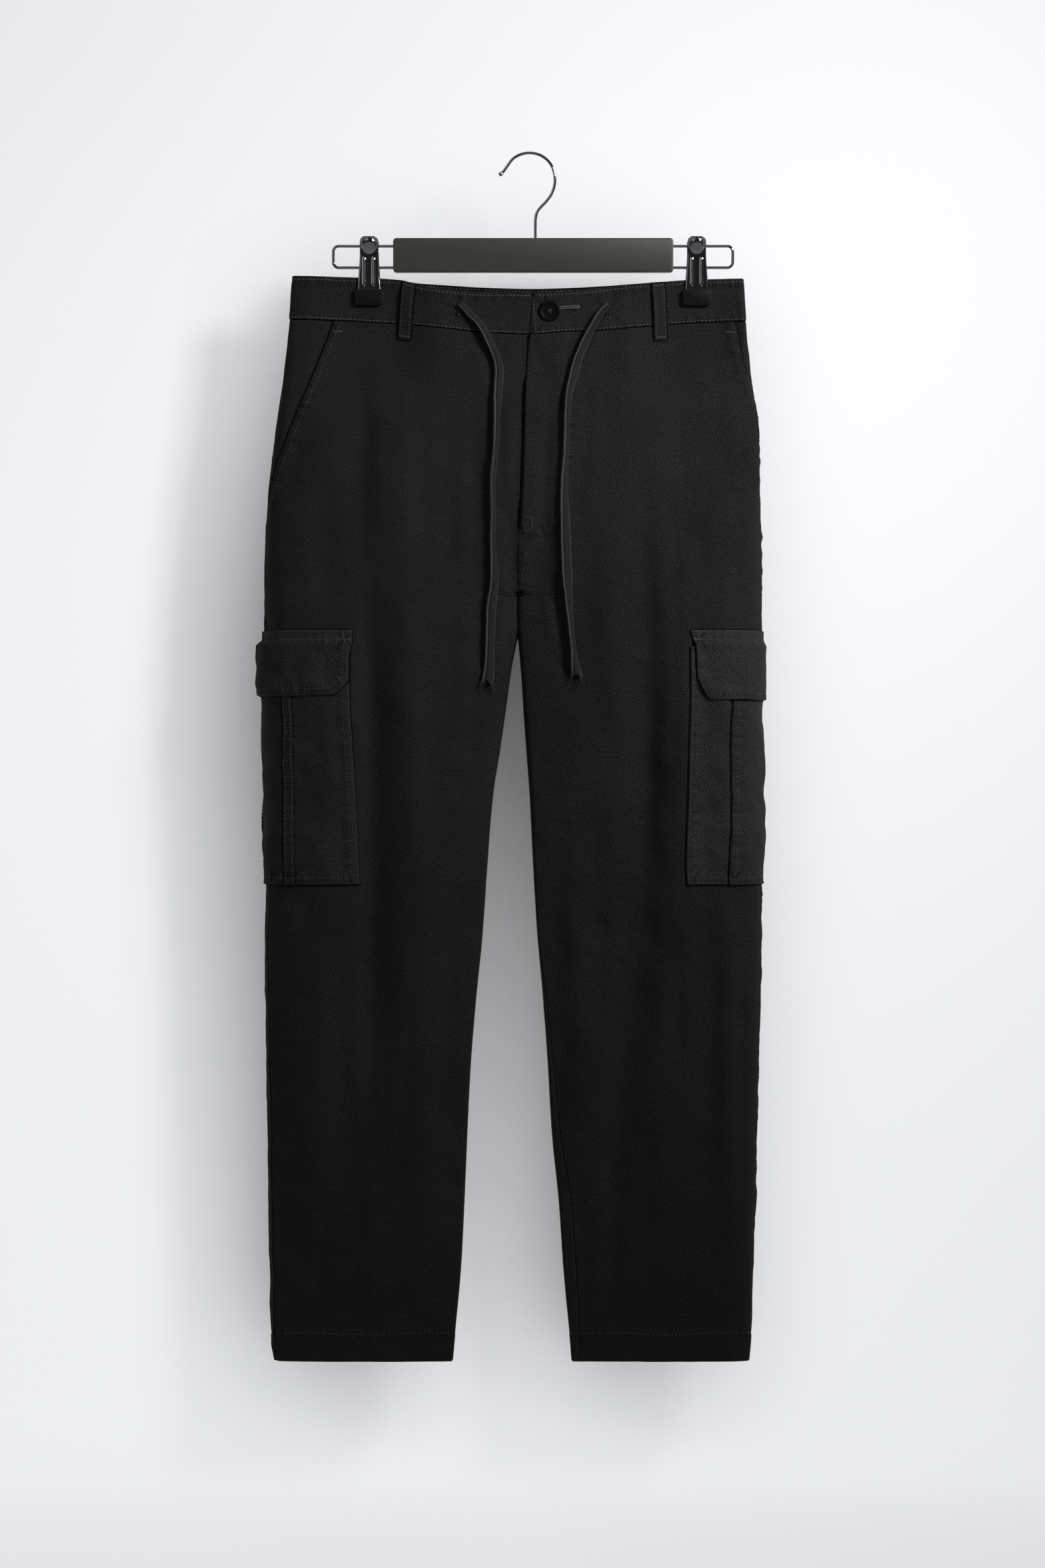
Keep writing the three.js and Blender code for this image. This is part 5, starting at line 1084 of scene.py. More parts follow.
# Waistband
# One strip of twill folded lengthways, 41 mm high and sewn to the top of the panels, with a row of
# stitches near each edge. The drawcord runs inside it and ruches it a little, most of all behind.
BAND_PROUD = 0.5
BAND_CLOTH = 1.9
BAND_STITCHES = (WAIST_TOP - 3.2, BAND_SEAM + 2.4)
EYELETS = {"right": (-65.3, -146.5), "left": (73.4, -149.0)}
BAND_LAP = 2.6
for leg in legs:
    eyelet_x, eyelet_z = EYELETS[leg.name]
    eyelet_z -= float(sagged(np.array(eyelet_x), np.array(-135.0), 0.0)) + 135.0
    eyelet_arc = leg.arc_at(eyelet_z, eyelet_x, "front")
    ends = [leg.inner_edge(eyelet_z, face) for face in ("back", "front")]
    slit = (eyelet_arc - ends[0]) / (ends[1] - ends[0])
    slit_columns = slit + np.array([-2.6, -1.7, -1.1, -0.6, 0, 0.6, 1.1, 1.7, 2.6]) / (ends[1] - ends[0])
    across = np.sort(np.concatenate([spaced(0.0, 430.0, 0.0, 2.2) / 430.0, slit_columns]))
    low_edge = -BAND_SEAM - HALF_GAP
    heights = -np.concatenate([[-WAIST_TOP], spaced(-WAIST_TOP, low_edge, 0.25, 1.8), [low_edge]])
    first, last = leg.inner_edge(heights, "back") - LAP, leg.inner_edge(heights, "front") + LAP
    if leg is left_leg:
        last = last + BAND_LAP
    arcs = first[:, None] + (last - first)[:, None] * across
    heights = np.broadcast_to(heights[:, None], arcs.shape)
    run = np.linspace(0.004, 0.996, 60)
    band_sewn = []
    for z in BAND_STITCHES:
        start, end = leg.inner_edge(z, "back"), leg.inner_edge(z, "front")
        band_sewn.append(np.stack([start + (end - start) * run, np.full(60, z)], 1))
    if leg is left_leg:
        end = leg.inner_edge(-135.0, "front") + BAND_LAP - 3.4
        band_sewn.append([(end, WAIST_TOP - 3), (end, BAND_SEAM + 3)])

    def band_lift(arc, z, leg=leg, lines=band_sewn, eyelet=(eyelet_arc, eyelet_z)):
        """How far the band's outer face stands off the plain form of the leg."""
        x = leg.place(z, arc)[..., 0]
        away = np.hypot(arc - eyelet[0], z - eyelet[1])
        bearing = np.arctan2(z - eyelet[1], arc - eyelet[0])
        pull = 0.9 * np.exp(-((away - 8) / 9) ** 2) * np.cos(5 * bearing + 0.6 * np.sin(2 * bearing))
        pull = pull - 1.3 * np.exp(-((arc - eyelet[0]) / 1.1) ** 2 - ((z - eyelet[1]) / 6.5) ** 4)
        ruche = np.sin(arc / 2.6 + 1.6 * np.sin(arc / 19)) + 0.6 * np.sin(arc / 5.7 + leg.turn)
        loose = (1 - pinch(x, z)) * (0.16 + 0.22 * (arc < 0))
        lift = BAND_PROUD + ruche * loose * ease((z - BAND_SEAM) / 30 + 0.3)
        from_end = leg.inner_edge(z, "front") + (BAND_LAP + LAP if leg is left_leg else LAP) - arc
        lift = lift + rolled(WAIST_TOP - z, 1.5, 1.0) + turned_edge(z - BAND_SEAM, 1.0)
        lift = lift + pull * ease((WAIST_TOP - z) / 8) * ease((z - BAND_SEAM) / 8)
        if leg is left_leg:
            lift = lift + 0.9 * ease((36 - from_end) / 4) + turned_edge(from_end, 1.5)
        return lift + puckered(lines, arc, z, 1.1)

    # Painted shade in the crease at the band seam, in the eyelet's slit and beside the left band's end
    shade = edge_shade(heights - BAND_SEAM)
    slit_painted_shade = np.exp(-((arcs - eyelet_arc) / 1.2) ** 2 - ((heights - eyelet_z) / 6.5) ** 4)
    shade = np.minimum(shade, EDGE_WEAR - (1 + EDGE_WEAR) * slit_painted_shade)
    if leg is left_leg:
        shade = np.minimum(shade, edge_shade(arcs[:, -1:] - arcs - 0.4))
    cloth_piece(
        f"band_{leg.name}", leg, arcs, heights, band_lift(arcs, heights), np.full(arcs.shape, BAND_CLOTH),
        shade, band_sewn, [f"waistband_{leg.name}"],
        black_twill)
    runs = [sewn_line(leg, line, band_lift) for line in band_sewn]
    inside = leg.inner_edge(-118.0, "back") + np.linspace(2, 100, 12)
    starts, ends, out = sewn_line(leg, np.stack([inside, np.full(12, WAIST_TOP - 2.4)], 1), -1.9)
    runs.append((starts, ends, -out))
    topstitching(f"band_stitching_{leg.name}", runs, band_thread)

# Cargo pockets
# A patch of twill over each side seam, 165 mm wide and 221 mm high, with its edges turned in and
# topstitched 6 mm inside them. A stitched pleat runs down its front half and one down its back.
POCKET_HALF_WIDTH = 82.5
POCKET_CLOTH = 2.2
PLEAT_PROUD = 0.9
PLEAT_WIDTH = 9.0
POCKET_STITCH = 6.6
POCKET_FULLNESS = 1.8
# Where the pleat and the front edge show from the front: height, x of the pleat, x of the edge
POCKET_VIEW = {
    "right": table("z pleat edge", [
        (-440, -228.6, -166.5), (-507, -228.6, -167.2), (-552.8, -228.4, -164.7), (-605.3, -228.2, -161.8),
        (-682.8, -228, -159),
    ]),
    "left": table("z pleat edge", [
        (-440, 188.5, 148.8), (-507, 187.8, 149.2), (-552.8, 185.9, 148), (-605.3, 186.3, 146.9),
        (-667, 185, 145.3), (-682.8, 184.7, 146.4),
    ]),
}
# On the right pocket the pleat's outer edge lies at 18 mm, and on the left its front edge at 45 mm
PLEAT_KNOT = {"right": 18.0, "left": 45.0}
PLEAT_START = {"right": 18.0, "left": 36.0}
PLEAT_STITCHES = {"right": (1.3, 7.6), "left": (4.0,)}
# Grooves beside each pleat: where they lie across it, how deep they are and how dark their painted shade is
PLEAT_SLITS = {"right": ((-0.5, 0.8, 0.6), (9.5, 0.6, 0.5)), "left": ((9.3, 1.8, 1.0), (-0.3, 0.3, 0.1))}


def patch_reaches(leg, view):
    """Arc lengths from the side seam to the pleat and to the front edge, by height."""
    z = np.linspace(-440, -690, 26)
    found = []
    for column in ("pleat", "edge"):
        arcs = np.array([leg.arc_at(at, float(read(view, "z", column, at)), "front") for at in z])
        found.append(arcs - leg.seam(z))
    return z, found[0], found[1]


def patch_arc(leg, reaches, half, side, z):
    """Arc length of a place on a patch that is given by its distance from the seam, as cut."""
    knot = PLEAT_KNOT[leg.name]
    pleat, edge = (np.interp(-z, -reaches[0], reach) for reach in reaches[1:])
    ahead = np.where(side < knot, side * pleat / knot, pleat + (side - knot) * (edge - pleat) / (half - knot))
    return leg.seam(z) + np.where(side > 0, ahead, side)


def patch_side(leg, reaches, half, arc, z):
    """Distance from the seam, as cut, of a place on a patch that is given by its arc length."""
    knot = PLEAT_KNOT[leg.name]
    pleat, edge = (np.interp(-z, -reaches[0], reach) for reach in reaches[1:])
    off = arc - leg.seam(z)
    ahead = np.where(off < pleat, off * knot / pleat, knot + (off - pleat) * (half - knot) / (edge - pleat))
    return np.where(off > 0, ahead, off)


for leg in legs:
    pleat = PLEAT_START[leg.name]
    reaches = patch_reaches(leg, POCKET_VIEW[leg.name])
    near_pleat = np.array([-2.2, -1.2, -0.7, -0.3, 0.1, 0.6, 1.3, 4.5, 7.6, 8.3, 8.8, 9.2, 9.6, 10.2, 11.4])
    off = np.unique(np.round(np.concatenate([
        spaced(-POCKET_HALF_WIDTH - SKIRT, POCKET_HALF_WIDTH + SKIRT, 0.0, 2.8), pleat + near_pleat,
        -pleat - near_pleat]), 2))
    rows = -spaced(-POCKET_TOP, -POCKET_BOTTOM + SKIRT, 0.0, 2.5)[:, None]
    heights = np.broadcast_to(rows, (len(rows), len(off)))
    arcs = patch_arc(leg, reaches, POCKET_HALF_WIDTH, np.broadcast_to(off, heights.shape), heights)

    def on_pocket(side, z, leg=leg, reaches=reaches):
        """A sewn line from distances from the side seam and heights."""
        side, z = (part.astype(float) for part in np.broadcast_arrays(side, z))
        return np.stack([patch_arc(leg, reaches, POCKET_HALF_WIDTH, side, z), z], 1)

    inside = POCKET_HALF_WIDTH - POCKET_STITCH
    down = np.linspace(POCKET_TOP, POCKET_BOTTOM + POCKET_STITCH, 20)
    pocket_sewn = [on_pocket(side, down) for side in (-inside, inside)]
    pocket_sewn.append(on_pocket(np.linspace(-inside, inside, 20), POCKET_BOTTOM + POCKET_STITCH))
    for into in PLEAT_STITCHES[leg.name]:
        pocket_sewn += [on_pocket(pleat + into, down), on_pocket(-pleat - into, down)]

    def pocket_lift(arc, z, leg=leg, lines=pocket_sewn, pleat=pleat, reaches=reaches):
        """How far a cargo pocket's outer face stands off the leg."""
        side = patch_side(leg, reaches, POCKET_HALF_WIDTH, arc, z)
        from_edge = POCKET_HALF_WIDTH + SKIRT - np.abs(side)
        in_bottom = z - POCKET_BOTTOM + SKIRT
        lift = 0.3 + POCKET_CLOTH + turned_edge(np.minimum(from_edge, in_bottom), POCKET_CLOTH)
        full = ease((from_edge - 7) / 20) * ease((in_bottom - 7) / 30)
        lift = lift + POCKET_FULLNESS * full * (0.6 + 0.4 * np.sin(side / 23 + z / 60 + leg.turn))
        lift = lift + full * rumpled(side, z, 21 + leg.turn, 1.5)
        into = np.abs(side) - pleat
        strip = ease(into / 0.5 + 0.5) * ease((PLEAT_WIDTH - into) / 0.6 + 0.5)
        lift = lift + PLEAT_PROUD * strip
        for place, depth, _ in PLEAT_SLITS[leg.name]:
            lift = lift - depth * np.exp(-((into - place) / 0.7) ** 2)
        return lift + puckered(lines, arc, z, 0.4 * leg.turn)

    side = patch_side(leg, reaches, POCKET_HALF_WIDTH, arcs, heights)
    # Painted shade in the crease around the turned edges and in the grooves beside the pleat
    shade = edge_shade(np.minimum(POCKET_HALF_WIDTH + SKIRT - np.abs(side), heights - POCKET_BOTTOM + SKIRT))
    for place, _, dark in PLEAT_SLITS[leg.name]:
        shade = np.minimum(shade, 0.2 - (dark + 0.2) * np.exp(-((np.abs(side) - pleat - place) / 0.75) ** 2))
    cloth_piece(
        f"cargo_pocket_patch_{leg.name}", leg, arcs, heights, pocket_lift(arcs, heights),
        np.full(arcs.shape, 1.2), shade, pocket_sewn, [f"cargo_pocket_{leg.name}"],
        patch_twill[leg.name])
    runs = [sewn_line(leg, line, pocket_lift) for line in pocket_sewn]
    topstitching(f"cargo_pocket_stitching_{leg.name}", runs)

# Cargo pocket flaps
# Two layers of twill, sewn to the leg above the pocket's mouth, with the two lower corners cut off
# and a row of stitches inside the edges. The flap stands off over the pocket.
FLAP_CLOTH = 1.8
FLAP_REACH = 85.0
FLAP_STITCH = 6.4
FLAP_OVER = 4.2
FLAP_BAND_STITCH = -456.6
# Height of the foot, width and height of the cut-off corner, and how bowed its edge is
FLAP_SHAPE = {"right": (-508.0, 15.0, 13.0, 1.2), "left": (-512.0, 17.0, 21.0, 1.5)}
FLAP_VIEW = {
    "right": table("z pleat edge", [
        (-440, -228.6, -165.6), (-456, -228.6, -164.7), (-470, -228.6, -167.6), (-520, -228.6, -168),
    ]),
    "left": table("z pleat edge", [
        (-440, 188.5, 149), (-450, 188.3, 149.2), (-464, 188.1, 153.4), (-520, 187.8, 154.6),
    ]),
}
FLAP_TACKS = {
    "right": (((-173.2, -447.8), (-173.2, -456)), ((-173, -457), (-165.4, -456.4))),
    "left": (((151.2, -455.6), (157.6, -456.4)), ((156.4, -448.4), (156.4, -455))),
}
for leg in legs:
    foot, chamfer_width, chamfer_height, bow = FLAP_SHAPE[leg.name]
    reaches = patch_reaches(leg, FLAP_VIEW[leg.name])
    off = spaced(-FLAP_REACH - SKIRT, FLAP_REACH + SKIRT, 0.0, 2.6)
    corner = FLAP_REACH - chamfer_width
    bottom = foot - SKIRT + np.clip((np.abs(off) - corner) / chamfer_width, 0, 1) ** bow * chamfer_height
    top = FLAP_TOP + SKIRT
    down = spaced(0.0, top - foot + SKIRT, 0.0, 2.3) / (top - foot + SKIRT)
    heights = top + (bottom - top) * down[:, None]
    arcs = patch_arc(leg, reaches, FLAP_REACH, np.broadcast_to(off, heights.shape), heights)
    inset = FLAP_REACH - FLAP_STITCH
    low = foot + FLAP_STITCH
    turn_in = corner - 0.5 * FLAP_STITCH
    high = low + (inset - turn_in) * chamfer_height / chamfer_width
    side_line = [(inset, FLAP_TOP - 3), (inset, high), (turn_in, low)]
    outline = side_line + [(side, low) for side in np.linspace(turn_in, -turn_in, 20)[1:-1]]
    outline += [(-side, z) for side, z in side_line[::-1]]
    across = [(side, FLAP_BAND_STITCH) for side in np.linspace(-84, 84, 30)]
    flap_sewn = []
    for line in (outline, across):
        line = np.array(line)
        line_arc = patch_arc(leg, reaches, FLAP_REACH, line[:, 0], line[:, 1])
        flap_sewn.append(np.stack([line_arc, line[:, 1]], 1))
    chamfer = (chamfer_width, chamfer_height)

    def flap_edges(arc, z, leg=leg, foot=foot, corner=corner, bow=bow, chamfer=chamfer, reaches=reaches):
        """Distances of a place on a flap from its lower edges and from its top."""
        side = np.abs(patch_side(leg, reaches, FLAP_REACH, arc, z))
        edge_z = foot - SKIRT + np.clip((side - corner) / chamfer[0], 0, 1) ** bow * chamfer[1]
        return np.minimum(FLAP_REACH + SKIRT - side, z - edge_z), FLAP_TOP + SKIRT - z

    def flap_lift(arc, z, leg=leg, lines=flap_sewn, foot=foot, edges=flap_edges):
        """How far a flap's outer face stands off the leg."""
        side = arc - leg.seam(z)
        free, sewn = edges(arc, z)
        over = ease((FLAP_TOP - 7 - z) / 8)
        lift = 0.3 + FLAP_CLOTH + over * FLAP_OVER - 0.5 * np.exp(-((z - FLAP_BAND_STITCH + 1.6) / 1.2) ** 2)
        lift = lift + over * 1.1 * np.sin(side / 17 + leg.turn) * ease((z - foot) / 30)
        lift = lift + over * rumpled(side, z, 31 + leg.turn, 1.3) * ease((z - foot) / 14)
        lift = lift + turned_edge(sewn, FLAP_CLOTH)
        lift = lift + turned_edge(free, FLAP_CLOTH + 0.8 * over)
        return lift + puckered(lines, arc, z, 3.0 + leg.turn)

    free, sewn = flap_edges(arcs, heights)
    # Painted shade in the crease along the flap's edges
    shade = edge_shade(np.minimum(free, sewn))
    cloth_piece(
        f"cargo_pocket_flap_{leg.name}", leg, arcs, heights, flap_lift(arcs, heights),
        np.full(arcs.shape, 1.4), shade, flap_sewn, [f"cargo_flap_{leg.name}"],
        patch_twill[leg.name])
    runs = [sewn_line(leg, line, flap_lift) for line in flap_sewn]
    for start, end in FLAP_TACKS[leg.name]:
        ends = [(leg.arc_at(z, x, "front"), z) for x, z in (start, end)]
        runs.append(bartack(leg, *ends, flap_lift, 1.8, 12))
    topstitching(f"cargo_flap_stitching_{leg.name}", runs)

# Belt loops
# Five strips of twill, folded to 12.5 mm and stitched along both edges, each turned under and barred
# to the band at its top and just below the band at its foot.
LOOP_CLOTH = 1.5
LOOP_END = -170.0
# Half of the strip as drawn, with its turned edges, and how far its stitches lie off its middle
LOOP_HALF = 7.25
LOOP_STITCH = 4.6
LOOP_STATIONS = table("z lift", [
    (WAIST_TOP, 1), (-119, 1), (-127, 2.3), (-142, 2.3), (BAND_SEAM, 1.4), (-163, 1), (LOOP_END, 0.8),
])
LOOP_PLACES = [
    ("belt_loop_front_right", right_leg, "front", -112.5, -117.0),
    ("belt_loop_front_left", left_leg, "front", 120.0, 122.5),
    ("belt_loop_back_right", right_leg, "back", -98.0, -100.0),
    ("belt_loop_back_left", left_leg, "back", 96.0, 98.0),
    ("belt_loop_centre_back", right_leg, "back", 4.8, 0.0),
]


def loop_stand(z):
    """How far a belt loop's outer face stands off the leg at a height."""
    return read(LOOP_STATIONS, "z", "lift", z) + LOOP_CLOTH


for name, leg, face, x_top, x_end in LOOP_PLACES:
    z = -spaced(-WAIST_TOP, -LOOP_END, 0.0, 1.6)
    middle = x_top + (x_end - x_top) * (WAIST_TOP - z) / (WAIST_TOP - LOOP_END)
    centre = np.array([leg.arc_at(at, x, face) for at, x in zip(z, middle)])
    half = np.array([0, 1.8, 3.6, LOOP_STITCH, 5.2, 5.8, 6.2, 6.4, 6.8, LOOP_HALF])
    side = np.concatenate([-half[:0:-1], half])
    arcs = centre[:, None] + side
    heights = np.broadcast_to(z[:, None], arcs.shape)
    across = np.broadcast_to(side, arcs.shape)
    lift = loop_stand(heights) + turned_edge(LOOP_HALF - np.abs(across), 1.2)
    lift = lift - 0.25 * np.exp(-((np.abs(across) - LOOP_STITCH) / 0.6) ** 2)
    lift = lift + 0.1 * np.sin(heights / 1.4) * ease((np.abs(across) - 3) / 2)
    lift = lift + rolled(WAIST_TOP - heights, 1.2, 0.9) + rolled(heights - LOOP_END, 1.2, 0.9)
    # Painted shade in the crease along the strip's turned edges
    cloth_piece(
        f"{name}_strip", leg, arcs, heights, lift, np.full(arcs.shape, LOOP_CLOTH - 0.1),
        edge_shade(LOOP_HALF - np.abs(across)), [], [name],
        black_twill)
    runs = []
    for edge in (-LOOP_STITCH, LOOP_STITCH):
        line = np.stack([centre + edge, z], 1)[3:-3]
        runs.append(sewn_line(leg, line, lambda arc, z: loop_stand(z) - 0.2))
    for at in (WAIST_TOP - 3.5, LOOP_END + 3):
        middle = float(np.interp(-at, -z, centre))
        runs.append(bartack(leg, (middle - 5, at), (middle + 5, at), float(loop_stand(at)), 1.6, 16))
    topstitching(f"{name}_stitching", runs)

# Eyelets and buttonhole
# Slits in the band, each bound with close satin stitches of grey thread: two upright ones that the
# drawcord leaves by, and a level one beside the button.
BOUND_SLITS = [
    (right_leg, *EYELETS["right"], 14.0, 90.0, 1.2), (left_leg, *EYELETS["left"], 14.0, 90.0, 1.2),
    (left_leg, 36.2, -145.4, 20.0, 0.0, 1.0),
]
SATIN_PITCH = 0.7
satin_thread = sewing_thread("grey buttonhole thread", "#303032", "#727276")
dark_satin_thread = sewing_thread("black buttonhole thread", "#0c0c0d", "#3c3c3f")
for number, (leg, x, true_z, length, tilt, gap) in enumerate(BOUND_SLITS):
    nominal = true_z - (float(sagged(np.array(x), np.array(-135.0), 0.0)) + 135.0)
    arc = leg.arc_at(nominal, x, "front")
    half = length / 2 - gap
    angle = math.radians(tilt)
    outline = []
    for way in (1, -1):
        outline += [(way * s, way * gap, 0, way) for s in np.arange(half, -half, -SATIN_PITCH)]
        for bend in np.arange(0, math.pi, 0.35):
            outline.append((-way * (half + gap * math.sin(bend)), way * gap * math.cos(bend),
                            -way * math.sin(bend), way * math.cos(bend)))
    outline = np.array(outline)
    ends = []
    for reach in (-1.0, 0.9):
        along, off = outline[:, 0] + outline[:, 2] * reach, outline[:, 1] + outline[:, 3] * reach
        a = arc + (along * math.cos(angle) - off * math.sin(angle)) * leg.turn
        z = nominal + along * math.sin(angle) + off * math.cos(angle)
        ends.append(leg.place(z, a, np.full(a.shape, BAND_PROUD + (1.6 if tilt == 0 else 0.8))))
    topstitching(f"bound_slit_{number + 1}", [(ends[0], ends[1], leg.outward(z, a))],
                 satin_thread if tilt == 0 else dark_satin_thread)

# Button
# A turned disc of black polyester resin, 20 mm across, with a raised rim and four holes, sewn on
# through a crossed thread.
BUTTON_RADIUS = 10.0
BUTTON_HOLE = 1.1
BUTTON_HOLE_OFF = 2.3
BUTTON_PROFILE = [
    (1.0, 0.2), (9.2, 0.2), (9.7, 0.5), (10, 1.1), (9.98, 1.8), (9.8, 2.4), (9.4, 2.8), (8.9, 3.0),
    (8.3, 3.0), (7.8, 2.85), (7.4, 2.5), (7.1, 2.15), (6.7, 1.95), (6.0, 1.85), (4.5, 1.8), (1.0, 1.8),
]
BUTTON_SIDES = 64
BUTTON_FORWARD = 1.6
GRAIN_HEIGHT = 0.1


def moulded(name, dark, light, grain, roughness, ior, specular, bump=0.3, detail=3.0, mottle=None):
    """A cast or moulded finish: fine grain, and two tones mixed by it or by a wide mottle."""
    material, output = new_material(name)
    grains = node(material, "TexNoise", {"Scale": grain, "Detail": detail})
    spread = node(material, "TexNoise", {"Scale": mottle, "Detail": 4.0}) if mottle else grains
    tone = node(material, "Mix", {
        "Factor": spread.outputs["Fac"], "A": linear(dark), "B": linear(light)}, data_type="RGBA")
    relief = node(material, "Bump", {
        "Height": grains.outputs["Fac"], "Strength": bump, "Distance": GRAIN_HEIGHT / 1000})
    shader = node(material, "BsdfPrincipled", {
        "Base Color": tone.outputs["Result"], "Roughness": roughness, "IOR": ior,
        "Specular IOR Level": specular, "Normal": relief.outputs[0]})
    material.node_tree.links.new(shader.outputs[0], output.inputs["Surface"])
    return material


# Cast resin that was tumbled: near black, with one soft and wide highlight
button_resin = moulded(
    "polyester resin, tumbled satin", "#050505", "#0b0b0c", 900.0, 0.45, 1.55, 0.06, bump=0.25)

low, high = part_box("button")
button_centre = (Vector(low) + Vector(high)) * 500
turns = np.linspace(0, 2 * np.pi, BUTTON_SIDES, endpoint=False)
rings = [np.stack([r * np.cos(turns), np.full(BUTTON_SIDES, -h), r * np.sin(turns)], 1)
         for r, h in BUTTON_PROFILE]
points = np.vstack(rings) + np.array(button_centre) + (0, BUTTON_FORWARD, 0)
button = piece("button_disc", points, capped_rings(len(rings), BUTTON_SIDES), button_resin)
face_y = points[:, 1].min()
hole_centres = [(math.cos(a) * BUTTON_HOLE_OFF * 1.25, math.sin(a) * BUTTON_HOLE_OFF * 1.25)
                for a in np.radians((45, 135, 225, 315))]
cutter_build = bmesh.new()
for x, z in hole_centres:
    drilled = bmesh.ops.create_cone(cutter_build, cap_ends=True, segments=20, radius1=BUTTON_HOLE / 1000,
                                    radius2=BUTTON_HOLE / 1000, depth=0.012)
    bmesh.ops.rotate(cutter_build, verts=drilled["verts"], matrix=Matrix.Rotation(math.pi / 2, 3, "X"))
    centre = Vector((button_centre[0] + x, face_y, button_centre[2] + z)) / 1000
    bmesh.ops.translate(cutter_build, verts=drilled["verts"], vec=centre)
cutter_mesh = bpy.data.meshes.new("button drill")
cutter_build.to_mesh(cutter_mesh)
cutter_build.free()
cutter = bpy.data.objects.new("button drill", cutter_mesh)
bpy.context.collection.objects.link(cutter)
drill = button.modifiers.new("holes", "BOOLEAN")
drill.object, drill.solver = cutter, "EXACT"
bpy.context.view_layer.update()
drilled_mesh = bpy.data.meshes.new_from_object(button.evaluated_get(bpy.context.evaluated_depsgraph_get()))
button.modifiers.clear()
button.data = drilled_mesh
bpy.data.objects.remove(cutter)
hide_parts("button")
cross = []
for (x0, z0), (x1, z1) in (((hole_centres[0]), (hole_centres[2])), ((hole_centres[1]), (hole_centres[3]))):
    for off in (-0.3, 0.3):
        ends = []
        for x, z in ((x0, z0), (x1, z1)):
            ends.append(np.array([[button_centre[0] + x + off, face_y + 1.0, button_centre[2] + z - off]]))
        cross.append((ends[0], ends[1], np.array([[0.0, -1.0, 0.0]])))
topstitching("button_thread", cross)

# Hanger
# A moulded bar of dark grey ABS with a bent hook of chromed wire in its top. A chromed wire hairpin
# stands out of each end, and a clip of pressed chromed steel slides on it.
WIRE = 2.8
HOOK_RADIUS = 23.75
BAR_LENGTH = 262.5
BAR_HEIGHT = 31.7
BAR_DEPTH = 12.0
BAR_X = 3.45
BAR_Z = -94.85
STEM_X = 5.4
WIRE_TOP_Z = -86.1
WIRE_LOW_Z = -106.2
SOCKET = 13.7
WIRE_SIDES = 24
HAIRPIN_BEND = 5

# Bright chrome over drawn and pressed steel: a mirror that is a little duller in places
chrome_plate, chrome_output = new_material("bright chrome plate on steel")
chrome_noise = node(chrome_plate, "TexNoise", {"Scale": 240.0, "Detail": 3.0})
chrome_rough = node(chrome_plate, "MapRange", {
    "Value": chrome_noise.outputs["Fac"], "To Min": 0.03, "To Max": 0.13})
chrome_shader = node(chrome_plate, "BsdfPrincipled", {
    "Base Color": linear("#97999c"), "Metallic": 1.0, "Roughness": chrome_rough.outputs[0]})
chrome_plate.node_tree.links.new(chrome_shader.outputs[0], chrome_output.inputs["Surface"])

# Moulded ABS: dark olive grey with a broad satin sheen
bar_abs = moulded(
    "moulded ABS, satin texture", "#24241f", "#31312b", 1400.0, 0.42, 1.54, 0.7, detail=2.0, mottle=16.0)
# Moulded rubber: near black and dull
rubber_pad = moulded("moulded nitrile rubber", "#0a0a09", "#131210", 700.0, 0.4, 1.52, 0.14)


def wire(name, route, nodes, count, ball=0.0):
    """A bent round wire along points in the plane of the hanger, with an optional ball at its start."""
    route = np.array([(x, 0.0, z) for x, z in route])
    centres, way, at = along_route(route, count)
    radius = np.full(count, WIRE / 2)
    if ball:
        swell = ball * np.sqrt(np.clip(1 - (at / ball - 0.75) ** 2, 0, 1))
        plain = np.where(at > ball * 0.6, WIRE / 2, 0.2)
        radius = np.maximum(np.where(at < 1.6 * ball, swell, 0), plain)
    rings = []
    for centre, along, r in zip(centres, way, radius):
        out = np.cross(along, (0, 1, 0))
        swing = np.linspace(0, 2 * np.pi, WIRE_SIDES, endpoint=False)[:, None]
        rings.append(centre + r * (np.cos(swing) * np.array([0, 1, 0]) + np.sin(swing) * out))
    made = piece(name, np.vstack(rings), capped_rings(count, WIRE_SIDES), chrome_plate)
    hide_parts(*nodes)


hook_arc = [(HOOK_RADIUS * math.cos(a), WIRE / 2 - HOOK_RADIUS + HOOK_RADIUS * math.sin(a))
            for a in np.radians(np.arange(135, -1, -15))]
hook_neck = [(23.4, -29.1), (20.6, -37.3), (15.4, -44.6), (10.3, -49.8), (7.1, -54.4), (5.7, -60)]
hook_stem = [(STEM_X, -68), (STEM_X, BAR_Z + BAR_HEIGHT / 2 - SOCKET)]
hook_tip = [(-28.6, -19.5), (-24.5, -16.2)]
wire("hook_wire", [*hook_tip, *hook_arc, *hook_neck, *hook_stem], ["hanger_hook"], 150, 2.2)

for hand, direction, outer_x in (("right", -1, -184.0), ("left", 1, 190.5)):
    start = BAR_X + direction * (BAR_LENGTH / 2 - SOCKET)
    turn_x = outer_x - direction * HAIRPIN_BEND
    half = [(start + (turn_x - start) * share, WIRE_TOP_Z) for share in np.linspace(0, 1, 8)]
    for a in np.radians((22, 45, 68, 90)):
        reach, drop = HAIRPIN_BEND * math.sin(a), HAIRPIN_BEND * (1 - math.cos(a))
        half.append((turn_x + direction * reach, WIRE_TOP_Z - drop))
    lower = [(x, WIRE_TOP_Z + WIRE_LOW_Z - z) for x, z in half[::-1]]
    wire(f"hairpin_wire_{hand}", half + lower, [f"hanger_wire_{hand}"], 180)


